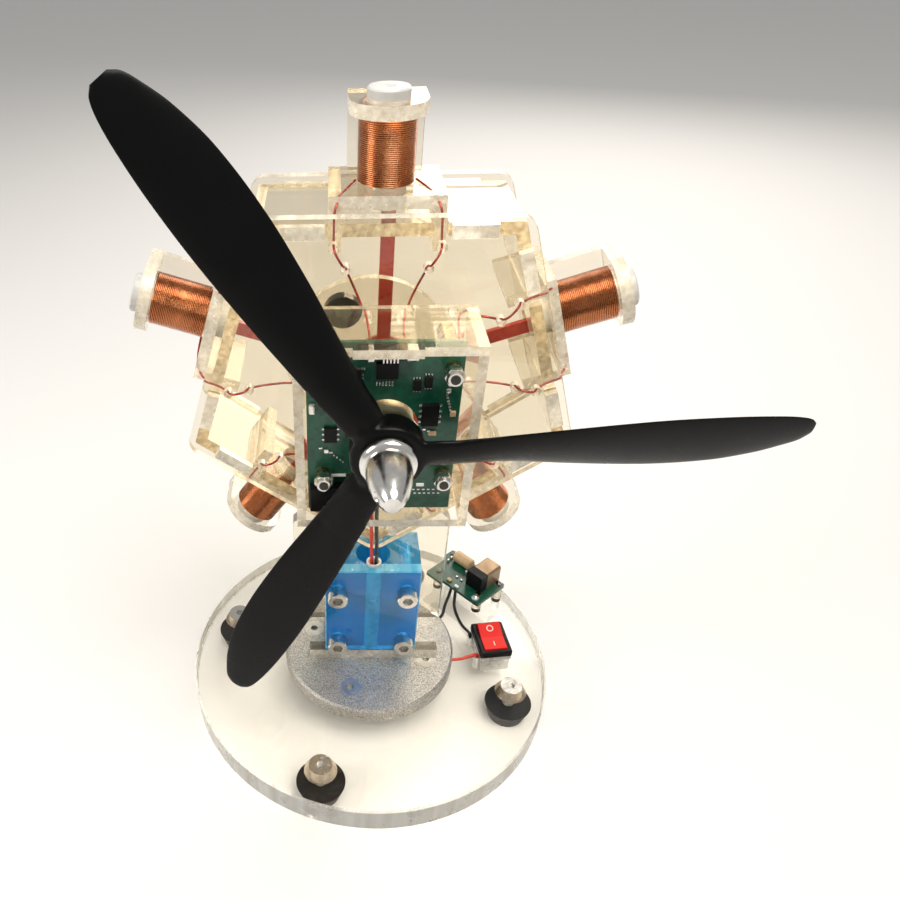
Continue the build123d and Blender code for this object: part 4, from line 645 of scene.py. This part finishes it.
# These routes, in millimetres, are of each winding's right-hand end. Its left-hand end mirrors it.
ends_on_right = [
    [(9.5, 14, 229.86), (16.2, -2, 229.86), (16.4, -2.2, 217.46), (16.5, -8.3, 215.86),
     (13.3, -8.3, 210.46), (12.8, -2.5, 209.26), (5.2, -2.5, 191.36), (5.2, -27.3, 191.36)],
    [(57.84, 14, 194.74), (55.77, -2, 201.11), (43.91, -2.2, 197.47), (42.36, -8.3, 197.07),
     (38.21, -8.3, 192.36), (37.23, -2.5, 191.51), (21.8, -2.5, 193.56), (21.8, -27.3, 193.56)],
    [(63.71, 14, 176.67), (65.78, -2, 170.29), (54.05, -2.2, 166.27), (52.56, -8.3, 165.68),
     (46.43, -8.3, 167.06), (45.14, -2.5, 167.16), (22, -2.5, 169.16), (22, -27.3, 169.16)],
    [(45.25, 14, 119.84), (50.67, -2, 123.78), (43.54, -2.2, 133.93), (42.68, -8.3, 135.28),
     (36.92, -8.3, 137.77), (35.81, -2.5, 138.45), (22, -2.5, 137.76), (22, -27.3, 137.76)],
    [(29.87, 14, 108.68), (24.45, -2, 104.74), (17, -2.2, 114.65), (15.98, -8.3, 115.89),
     (15.4, -8.3, 122.14), (15.1, -2.5, 123.4), (11, -2.5, 138.36), (11, -27.3, 138.36)],
]
winding_ends = [
    [(side * x * mm, y * mm, z * mm) for x, y, z in route] for route in ends_on_right for side in (1, -1)
]
end_size = 0.8 * mm
ends = wire_piece("winding_ends", winding_ends, end_size, lead_enamel)
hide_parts("coil_leads")

# ---------------------------------------------------------------- plungers, rods and crank
# Turned steel plungers slide in the tubes. Flat red strips join them to a hub on the crank pin.
bright_steel = finish_of("bright_steel", (0.60, 0.60, 0.59), 0.22, Metallic=1.0)
worn(bright_steel, 400.0, 0.15, 0.35)
dress(bright_steel, *[f"plunger_{k}" for k in range(1, 6)], "rod_pins", "crankshaft", "shaft_bearings")

rod_red = finish_of("rod_red", (0.50, 0.03, 0.015), 0.3, Coat_Weight=0.4)
two_tone(rod_red, (0.28, 0.016, 0.008), (0.46, 0.04, 0.02), 120.0)
worn(rod_red, 300.0, 0.2, 0.45)
dress(rod_red, "connecting_rods", "rod_hub")

weight_black = finish_of("weight_black", (0.012, 0.012, 0.013), 0.12, Coat_Weight=0.5)
worn(weight_black, 300.0, 0.08, 0.25)
weight_reach, weight_turn = 28 * mm, math.radians(118.4)
weight_middle = Vector((
    weight_reach * math.cos(weight_turn), 0, axis_z + weight_reach * math.sin(weight_turn)
))
screw_reach, screw_patch = 3 * mm, 40 * mm * mm


def screw_or_weight(group):
    """The screw's small patches lie round the weight's own axis."""
    away = middle_of(group) - weight_middle
    small = sum(face.calc_area() for face in group) < screw_patch
    return 1 if small and math.hypot(away.x, away.z) < screw_reach else 0


parted_copy("balance_weight", "counterweight", (weight_black, nickel), "rotor", 2,
            screw_or_weight)

# ---------------------------------------------------------------- bearing tube, propeller, spinner
# A turned flanged tube holds both bearings. The moulded nylon propeller is clamped between the
# shaft's driver and a rounded washer by a bullet-shaped nut, both polished and plated.
turned_steel = finish_of("turned_nickel", (0.62, 0.55, 0.42), 0.2, Metallic=1.0)
lined(turned_steel, (0.44, 0.37, 0.25), (0.76, 0.70, 0.57), 700.0, Along_X=0.06, Along_Z=0.06)
worn(turned_steel, 300.0, 0.28, 0.45)
dress(turned_steel, "bearing_tube")

blade_black = finish_of("blade_black", (0.0018, 0.0018, 0.002), 0.33, Specular_IOR_Level=0.15)
worn(blade_black, 60.0, 0.24, 0.36)
grained(blade_black, 900.0, 0.05)
tip_radius, sweep, hub_radius, hub_length = 126.0, 0.8, 12.0, 10.0
full_above, full_below, flatness = 0.72, 0.28, 1.5
blade_plane, first_blade = -42.7 * mm, -4.1
# Each row is a share of the tip's radius, then chord, thickness, pitch in degrees, and lag.
blade_stations = [
    (0.05, 9.0, 3.6, 20, 0), (0.11, 14.6, 5.6, 30, 0.1), (0.18, 15.2, 5.2, 32, 0.3),
    (0.30, 17.0, 3.8, 28.5, 0.8), (0.46, 20.2, 3.0, 23.5, 1.7), (0.64, 22.2, 2.4, 19.5, 2.4),
    (0.79, 21.0, 2.0, 18, 2.5), (0.89, 17.4, 1.6, 17.5, 1.9), (0.95, 13.4, 1.3, 17.5, 1.2),
    (0.985, 9.6, 1.0, 17.5, 0.9), (1.0, 5.2, 0.7, 17.5, 0.7),
]


def station_at(share):
    """Chord, thickness, pitch and lag at a share of the radius, on a smooth curve through the rows."""
    rows = blade_stations
    low = max(0, min(len(rows) - 2, sum(row[0] <= share for row in rows) - 1))
    before, here, there, after = (rows[max(0, min(len(rows) - 1, low + k))] for k in (-1, 0, 1, 2))
    span = there[0] - here[0]
    t = (share - here[0]) / span
    values = []
    for k in range(1, 5):
        rise_in = (there[k] - before[k]) / (there[0] - before[0]) * span
        rise_out = (after[k] - here[k]) / (after[0] - here[0]) * span
        values.append(
            (2 * t**3 - 3 * t**2 + 1) * here[k] + (t**3 - 2 * t**2 + t) * rise_in
            + (3 * t**2 - 2 * t**3) * there[k] + (t**3 - t**2) * rise_out
        )
    return values


def blade_ring(share, size, corners=36):
    """Points round one section of a blade that points along +X, from its centre line."""
    chord, thickness, pitch, lag = station_at(share)
    lean = math.radians(pitch)
    ring = []
    for k in range(corners):
        turn = 2 * math.pi * k / corners
        along = math.cos(turn) * size
        side = math.sin(turn)
        fullness = (full_above if side > 0 else full_below) * math.copysign(abs(side) ** flatness, side)
        u = chord / 2 * along
        v = thickness * fullness * size
        y = -u * math.sin(lean) - v * math.cos(lean) - sweep
        z = u * math.cos(lean) - v * math.sin(lean) - lag
        ring.append((share * tip_radius * mm, y * mm, z * mm))
    return ring


def skinned(rings):
    """A closed mesh through rings of the same number of points."""
    work = bmesh.new()
    loops = [[work.verts.new(place) for place in ring] for ring in rings]
    for one, two in zip(loops, loops[1:]):
        for k in range(len(one)):
            work.faces.new((one[k - 1], one[k], two[k], two[k - 1]))
    work.faces.new(loops[0])
    work.faces.new(loops[-1])
    bmesh.ops.recalc_face_normals(work, faces=work.faces)
    for face in work.faces:
        face.smooth = True
    return mesh_from("skinned", work)


def merged(name, parts):
    """One mesh from rows of a mesh, where it goes and the number of its finish."""
    work = bmesh.new()
    for mesh, placing, number in parts:
        part = mesh.copy()
        part.transform(placing)
        before = len(work.faces)
        work.from_mesh(part)
        work.faces.ensure_lookup_table()
        for face in work.faces[before:]:
            face.material_index = number
    return mesh_from(name, work)


def changed(mesh, *changes):
    """The mesh that modifiers, given as kinds and settings, make of a mesh."""
    seed = bpy.data.objects.new("seed", mesh)
    bpy.context.scene.collection.objects.link(seed)
    for kind, settings in changes:
        modifier = seed.modifiers.new(kind.lower(), kind)
        for label, value in settings.items():
            setattr(modifier, label, value)
    made = bpy.data.meshes.new_from_object(seed.evaluated_get(bpy.context.evaluated_depsgraph_get()))
    seed.modifiers.clear()
    bpy.data.objects.remove(seed)
    return made


def turned(profile, segments=96):
    """A lathe-turned mesh about Z from a closed outline of radius and height, in millimetres."""
    work = bmesh.new()
    loops = []
    for k in range(segments):
        turn = 2 * math.pi * k / segments
        loops.append([
            work.verts.new((r * math.cos(turn) * mm, r * math.sin(turn) * mm, h * mm)) for r, h in profile
        ])
    for k in range(segments):
        one, two = loops[k - 1], loops[k]
        for j in range(len(profile)):
            work.faces.new((one[j - 1], one[j], two[j], two[j - 1]))
    bmesh.ops.remove_doubles(work, verts=work.verts, dist=0.001 * mm)
    bmesh.ops.dissolve_degenerate(work, edges=work.edges, dist=0.001 * mm)
    bmesh.ops.recalc_face_normals(work, faces=work.faces)
    for face in work.faces:
        face.smooth = True
    for edge in work.edges:
        edge.smooth = edge.calc_face_angle(math.pi) < math.radians(35)
    return mesh_from("turned", work)


facing_front = Matrix.Rotation(math.radians(90), 4, "X")
blade_turns = [Matrix.Rotation(math.radians(first_blade - 120 * k), 4, "Y") for k in range(3)]
# The root is one rounded piece with the hub. It shrinks into the outer blade over a short stretch.
joint_share, fade, taper = 0.23, 0.06, 0.035
root_start, root_span, root_rings = 0.05, 0.28, 28
root_shares = [root_start + root_span * k / root_rings for k in range(root_rings + 1)]
root_blade = skinned([
    blade_ring(share, 1.0 - taper * max(0.0, share - joint_share - fade / 2) / fade) for share in root_shares
])
half = hub_length / 2
hub_mesh = turned([(0.0, -half), (hub_radius - 0.5, -half), (hub_radius, 0.5 - half),
                   (hub_radius, half - 0.5), (hub_radius - 0.5, half), (0.0, half)])
root = merged("root", [(root_blade, turn, 0) for turn in blade_turns] + [(hub_mesh, facing_front, 0)])
root = changed(root, ("REMESH", {"mode": "VOXEL", "voxel_size": 0.45 * mm, "use_smooth_shade": True}))
work = bmesh.new()
work.from_mesh(root)
smoothings, first_reach, reach_step = 34, 27.0, 0.25
for step in range(smoothings):
    reach = (first_reach - reach_step * step) * mm
    near = [vert for vert in work.verts if math.hypot(vert.co.x, vert.co.z) < reach]
    bmesh.ops.smooth_vert(work, verts=near, factor=0.5, use_axis_x=True, use_axis_y=True, use_axis_z=True)
work.to_mesh(root)
work.free()
outer_rings, crowding = 70, 1.6
outer_shares = [
    joint_share + (1 - joint_share) * (1 - (1 - k / outer_rings) ** crowding) for k in range(outer_rings + 1)
]
outer_blade = skinned([
    blade_ring(share, 1.0 - taper * max(0.0, 1.0 - (share - joint_share) / fade)) for share in outer_shares
])
prop_parts = [(root, Matrix(), 0)] + [(outer_blade, turn, 0) for turn in blade_turns]
prop_mesh = merged("propeller_visual", prop_parts)
prop_mesh.transform(Matrix.Translation((0, blade_plane, axis_z)))
propeller = mesh_piece("propeller_blades", prop_mesh, blade_black)
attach(propeller, "rotor")
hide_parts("propeller")

chrome = finish_of("chrome_plate", (0.78, 0.77, 0.75), 0.1, Metallic=1.0)
two_tone(chrome, (0.66, 0.64, 0.60), (0.84, 0.83, 0.81), 350.0)
worn(chrome, 500.0, 0.14, 0.28)
collar_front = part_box("prop_collar")[0].y
washer_height = 3.4
collar_mesh = turned([(2.6, 0), (8.6, 0), (9.0, 0.4), (9.0, 1.4), (8.7, 2.4), (7.9, 3.1),
                      (6.8, washer_height), (2.6, washer_height)])
collar_mesh.transform(Matrix.Translation((0, collar_front + washer_height * mm, axis_z)) @ facing_front)
collar = mesh_piece("clamping_washer", collar_mesh, chrome)
# The nut's outline is rows of radius and share of its length. A hole for a tightening bar crosses it.
bullet_length, bar_share, bar_radius, bar_end = 18.0, 0.79, 1.5, 9
bullet = [(7.2, 0), (7.2, 0.1), (7.05, 0.25), (6.75, 0.4), (6.2, 0.55), (5.4, 0.7), (4.3, 0.85), (3.4, 0.95),
          (2.6, 1.0), (1.2, 0.985), (0.0, 0.98)]
nut_mesh = turned([(0.0, 0.0)] + [(radius, share * bullet_length) for radius, share in bullet])
bar = [(0, -bar_end), (bar_radius, -bar_end), (bar_radius, bar_end), (0, bar_end)]
bar_hole = bpy.data.objects.new("bar_hole", turned(bar, 32))
bpy.context.scene.collection.objects.link(bar_hole)
bar_hole.matrix_world = (
    Matrix.Translation((0, 0, bar_share * bullet_length * mm)) @ Matrix.Rotation(math.radians(90), 4, "Y")
)
bpy.context.view_layer.update()
nut_mesh = changed(nut_mesh, ("BOOLEAN", {"operation": "DIFFERENCE", "object": bar_hole, "solver": "EXACT"}))
bpy.data.objects.remove(bar_hole)
nut_mesh.transform(Matrix.Translation((0, collar_front, axis_z)) @ facing_front)
bullet_nut = mesh_piece("bullet_nut", nut_mesh, chrome)
for piece, node in ((collar, "prop_collar"), (bullet_nut, "spinner_nut")):
    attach(piece, "rotor")
    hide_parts(node)

# ---------------------------------------------------------------- control board
# A green board with soldered chips stands on four brass spacers. Each has a turned collar and a lock
# nut with a nylon ring in front.
solder_green = finish_of("solder_mask", (0.004, 0.085, 0.045), 0.35, Coat_Weight=0.15)
two_tone(solder_green, (0.002, 0.045, 0.026), (0.005, 0.088, 0.047), 500.0, 0.2)
worn(solder_green, 300.0, 0.28, 0.42)
dress(solder_green, "control_board", "power_board")
brass = finish_of("aged_brass", (0.45, 0.33, 0.16), 0.25, Metallic=1.0)
two_tone(brass, (0.26, 0.18, 0.09), (0.58, 0.44, 0.22), 300.0)
worn(brass, 350.0, 0.18, 0.36)
# Painted shade: the spacers' threaded ends in front of the board are near-black metal, standing for the
# shade in the threads at the nuts' centres.
thread_painted_shade = finish_of("thread_painted_shade", (0.06, 0.055, 0.05), 0.4, Metallic=0.9)
worn(thread_painted_shade, 900.0, 0.3, 0.5)
board_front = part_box("control_board")[0].y
collar_end = board_front - 3.3 * mm
parted_copy("spacers", "board_spacers", (brass, thread_painted_shade), "stand", 2,
            lambda group: 1 if middle_of(group).y < board_front else 0)
parted_copy("lock_nuts", "board_nuts", (nickel, brass), "stand", 2,
            lambda group: 1 if middle_of(group).y > collar_end else 0)

chip_black = finish_of("chip_black", (0.004, 0.004, 0.0045), 0.5, Specular_IOR_Level=0.2)
worn(chip_black, 500.0, 0.35, 0.55)
grained(chip_black, 2500.0, 0.1)
tinned = finish_of("tinned_pins", (0.80, 0.78, 0.74), 0.25, Metallic=0.9)
worn(tinned, 900.0, 0.15, 0.4)
part_white = finish_of("part_white", (0.85, 0.84, 0.80), 0.35)
worn(part_white, 600.0, 0.25, 0.45)
part_tan = finish_of("part_tan", (0.52, 0.36, 0.19), 0.4)
two_tone(part_tan, (0.42, 0.28, 0.14), (0.62, 0.45, 0.26), 500.0)
worn(part_tan, 500.0, 0.3, 0.5)
board_finishes = (chip_black, tinned, part_white, part_tan)


def row_tree():
    """Like blocks in a straight row from the origin: their number, spacing and size are inputs."""
    kinds = {"Count": "Int", "Step": "Vector", "Size": "Vector", "Finish": "Material"}
    tree, entry, leave = new_tree("pin_row", kinds)
    line = add_node(tree, "GeometryNodeMeshLine", mode="OFFSET")
    tree.links.new(entry.outputs["Count"], line.inputs["Count"])
    tree.links.new(entry.outputs["Step"], line.inputs["Offset"])
    pin = add_node(tree, "GeometryNodeMeshCube")
    tree.links.new(entry.outputs["Size"], pin.inputs["Size"])
    placed = add_node(tree, "GeometryNodeInstanceOnPoints")
    tree.links.new(line.outputs["Mesh"], placed.inputs["Points"])
    tree.links.new(pin.outputs["Mesh"], placed.inputs["Instance"])
    finish_tree(tree, placed.outputs["Instances"], entry, leave)
    return tree


pin_row = row_tree()


def row_of(count, step, size, rounding):
    """Like blocks in a row, with their edges rounded; sizes in millimetres."""
    apart, large = ([value * mm for value in triple] for triple in (step, size))
    made = grown(pin_row, {"Count": count, "Step": apart, "Size": large, "Finish": tinned})
    return changed(made, ("BEVEL", {"width": rounding * mm, "segments": 2}))


def fitting(x0, x1, z0, z1, height, number, rounding=0.15):
    """A part on the board's front between these places from the shaft axis: a row for merged."""
    made = row_of(1, (0, 0, 0), (x1 - x0, height, z1 - z0), rounding)
    place = ((x0 + x1) / 2 * mm, board_front - height / 2 * mm, axis_z + (z0 + z1) / 2 * mm)
    return made, Matrix.Translation(place), number


def legs(count, x, z, step, size, number=1):
    """A row of pads or pins on the board's front from x and z: a row for merged."""
    place = (x * mm, board_front - size[1] / 2 * mm, axis_z + z * mm)
    return row_of(count, (step[0], 0, step[1]), size, 0.06), Matrix.Translation(place), number


# All in millimetres: left, right, low and high edge, height, number of the finish and, where it isn't
# the usual one, rounding.
part_rows = [
    (-24.6, -10.8, -31.4, -21.8, 4.6, 0, 0.4),
    (11.4, 16.8, 1.4, 9.2, 1.6, 0),
    (8.2, 10.6, 14.2, 18.0, 1.2, 0),
    (11.6, 14.0, 15.2, 19.2, 1.2, 0),
    (-10.6, -8.0, 16.2, 21.6, 1.4, 0),
    (-3.6, 3.2, 18.6, 24.0, 1.6, 0),
    (-19.6, -15.4, -4.8, 0.6, 1.5, 0),
    (-9.5, 9.5, 26.4, 28.2, 4.0, 0, 0.3),
    (-6.4, -4.4, 26.6, 28.3, 5.6, 1, 0.5),
    (5.2, 8.8, 26.6, 28.3, 5.2, 1, 0.5),
    (-17.6, -12.4, -19.0, -18.3, 1.0, 2),
    (11.6, 14.2, -23.4, -22.4, 0.8, 2),
    (-24.4, -22.4, 6.0, 9.6, 1.6, 1, 0.5),
    (-19.6, -18.2, -9.4, -8.0, 0.8, 1),
    (18.4, 20.0, 13.2, 15.0, 1.2, 1, 0.5),
    (20.4, 22.2, 4.6, 6.4, 1.0, 3),
    (14.0, 16.6, -2.6, -1.2, 0.9, 3),
]
# How many, the first one's place, the step, the size and, where they aren't tinned, the finish.
leg_rows = [
    (6, -3.1, 16.55, (0.96, 0), (0.5, 0.5, 1.5)),
    (5, -1.8, 27.4, (1.05, 0), (0.45, 6.4, 1.2)),
    (7, 18.9, 12.2, (0.3, -1.1), (0.8, 0.5, 0.55)),
    (4, 11.0, 2.4, (0, 2.0), (0.9, 0.5, 0.6)),
    (4, 17.2, 2.4, (0, 2.0), (0.9, 0.5, 0.6)),
    (3, 8.2, 18.2, (0.9, 0), (0.4, 0.5, 0.9)),
    (3, 8.4, 13.9, (0.9, 0), (0.4, 0.5, 0.9)),
    (3, 11.8, 19.4, (0.9, 0), (0.4, 0.5, 0.9)),
    (3, 11.8, 15.0, (0.9, 0), (0.4, 0.5, 0.9)),
    (2, -9.4, 21.8, (1.8, 0), (1.5, 0.5, 0.5)),
    (3, -7.7, 17.0, (0, 1.3), (0.8, 0.5, 0.5)),
    (3, -19.9, -4.2, (0, 2.0), (0.8, 0.5, 0.5)),
    (3, -15.1, -4.2, (0, 2.0), (0.8, 0.5, 0.5)),
    (4, -16.4, -10.6, (1.0, -0.9), (0.5, 0.4, 0.5)),
    (3, -20.8, -7.6, (1.7, -0.9), (1.2, 0.5, 0.5)),
    (3, 12.6, -0.4, (1.5, -0.7), (1.0, 0.6, 0.6)),
    (5, 10.8, -25.2, (1.7, 0), (0.9, 0.2, 0.4), 2),
    (6, 11.4, -26.8, (1.6, 0), (0.8, 0.2, 0.4), 2),
]
board_mesh = merged(
    "board_fittings", [fitting(*row) for row in part_rows] + [legs(*row) for row in leg_rows]
)
board_fittings = mesh_piece("board_fittings", board_mesh, *board_finishes)
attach(board_fittings, "stand")
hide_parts("board_parts")

# ---------------------------------------------------------------- switch and supply
# A red rocker in a black frame, on a translucent body let into the base. Its O and I marks are
# moulded into the rocker's two slopes in a pale plastic.
bezel_black = finish_of("bezel_black", (0.003, 0.003, 0.003), 0.4, Specular_IOR_Level=0.2)
worn(bezel_black, 400.0, 0.3, 0.5)
grained(bezel_black, 2500.0, 0.15)
dress(bezel_black, "switch_bezel")
rocker_red = finish_of("rocker_red", (0.72, 0.010, 0.006), 0.4, Specular_IOR_Level=0.25)
two_tone(rocker_red, (0.64, 0.008, 0.005), (0.78, 0.014, 0.008), 200.0)
worn(rocker_red, 400.0, 0.35, 0.5)
dress(rocker_red, "rocker")
mark_pale = finish_of("mark_pale", (0.90, 0.52, 0.42), 0.4)
worn(mark_pale, 700.0, 0.3, 0.5)
body_nylon = finish_of("body_nylon", (0.88, 0.87, 0.82), 0.3, Transmission_Weight=0.4, IOR=1.5)
worn(body_nylon, 300.0, 0.2, 0.4)
dress(body_nylon, "switch_body")

switch_turn, rest_tilt, slope = (math.radians(angle) for angle in (7, 8, 9))
rocker_pivot = Vector((57.5 * mm, 5.0 * mm, 25.1 * mm))
at_rocker = (
    Matrix.Translation(rocker_pivot)
    @ Matrix.Rotation(switch_turn, 4, "Z") @ Matrix.Rotation(rest_tilt, 4, "X")
)
mark_o = turned([(1.15, -0.1), (1.65, -0.1), (1.65, 0.05), (1.15, 0.05)], 48)
mark_i = row_of(1, (0, 0, 0), (0.5, 2.6, 0.15), 0.03)
marks = merged("rocker_marks", [
    (mark_o, Matrix.Translation((0, 4.3 * mm, 2.6 * mm)) @ Matrix.Rotation(slope, 4, "X"), 0),
    (mark_i, Matrix.Translation((0, -4.0 * mm, 2.53 * mm)) @ Matrix.Rotation(-slope, 4, "X"), 0),
])
marks.transform(at_rocker)
rocker_marks = mesh_piece("rocker_marks", marks, mark_pale)
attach(rocker_marks, "rocker")

# The supply board carries a plated barrel jack with a black block behind it, a tan capacitor with
# tinned ends, and a few small parts. A blob of solder stands at its front corner.
can_tan = finish_of("can_tan", (0.55, 0.37, 0.19), 0.4)
two_tone(can_tan, (0.46, 0.29, 0.14), (0.62, 0.44, 0.25), 300.0)
worn(can_tan, 400.0, 0.3, 0.5)
dress(can_tan, "power_capacitor")
# The plated shell's tan colour is painted reflection of warm surroundings on the plating, in soft darker and
# paler patches.
shell_plating_and_painted_reflection = finish_of("shell_plating_and_painted_reflection", (0.40, 0.30, 0.19), 0.35, Metallic=0.6)
two_tone(shell_plating_and_painted_reflection, (0.24, 0.155, 0.085), (0.34, 0.235, 0.14), 260.0)
worn(shell_plating_and_painted_reflection, 300.0, 0.28, 0.45)
supply_turn = math.radians(41.3)
across = Vector((math.cos(supply_turn), math.sin(supply_turn), 0))
supply_middle = Vector((49.165 * mm, 40.817 * mm, 31.2 * mm))
parted_copy("barrel_jack", "power_jack", (shell_plating_and_painted_reflection, chip_black), "stand", 2,
            lambda group: 0 if (middle_of(group) - supply_middle).dot(across) > 2 * mm else 1)
at_supply = Matrix.Translation(supply_middle) @ Matrix.Rotation(supply_turn, 4, "Z")


def on_supply(x, y, size, number, rounding):
    """A small part standing on the supply board: a row for merged."""
    made = row_of(1, (0, 0, 0), size, rounding)
    return made, at_supply @ Matrix.Translation((x * mm, y * mm, size[2] / 2 * mm)), number


solder_blob = turned([(0, 0), (1.9, 0), (1.7, 0.35), (1.1, 0.75), (0.7, 1.1), (0.35, 1.3), (0, 1.35)], 32)
supply_rows = [
    (-8.0, 3.0, (1.8, 2.6, 1.2), 3, 0.3),
    (-8.8, -2.4, (1.4, 2.2, 1.0), 2, 0.25),
    (-3.4, 2.0, (1.0, 1.2, 0.8), 1, 0.25),
    (-3.6, -1.0, (1.0, 1.2, 0.8), 1, 0.25),
    (1.8, 12.6, (1.2, 1.2, 1.6), 1, 0.3),
    (4.6, 13.0, (1.2, 1.2, 1.6), 1, 0.3),
    (2.0, 0.6, (1.6, 1.6, 2.2), 1, 0.4),
]
supply = merged("supply_parts", [
    (solder_blob, at_supply @ Matrix.Translation((-7.4 * mm, -13.2 * mm, 0)), 1),
    *(on_supply(*row) for row in supply_rows),
])
supply_parts = mesh_piece("supply_parts", supply, *board_finishes)
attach(supply_parts, "stand")
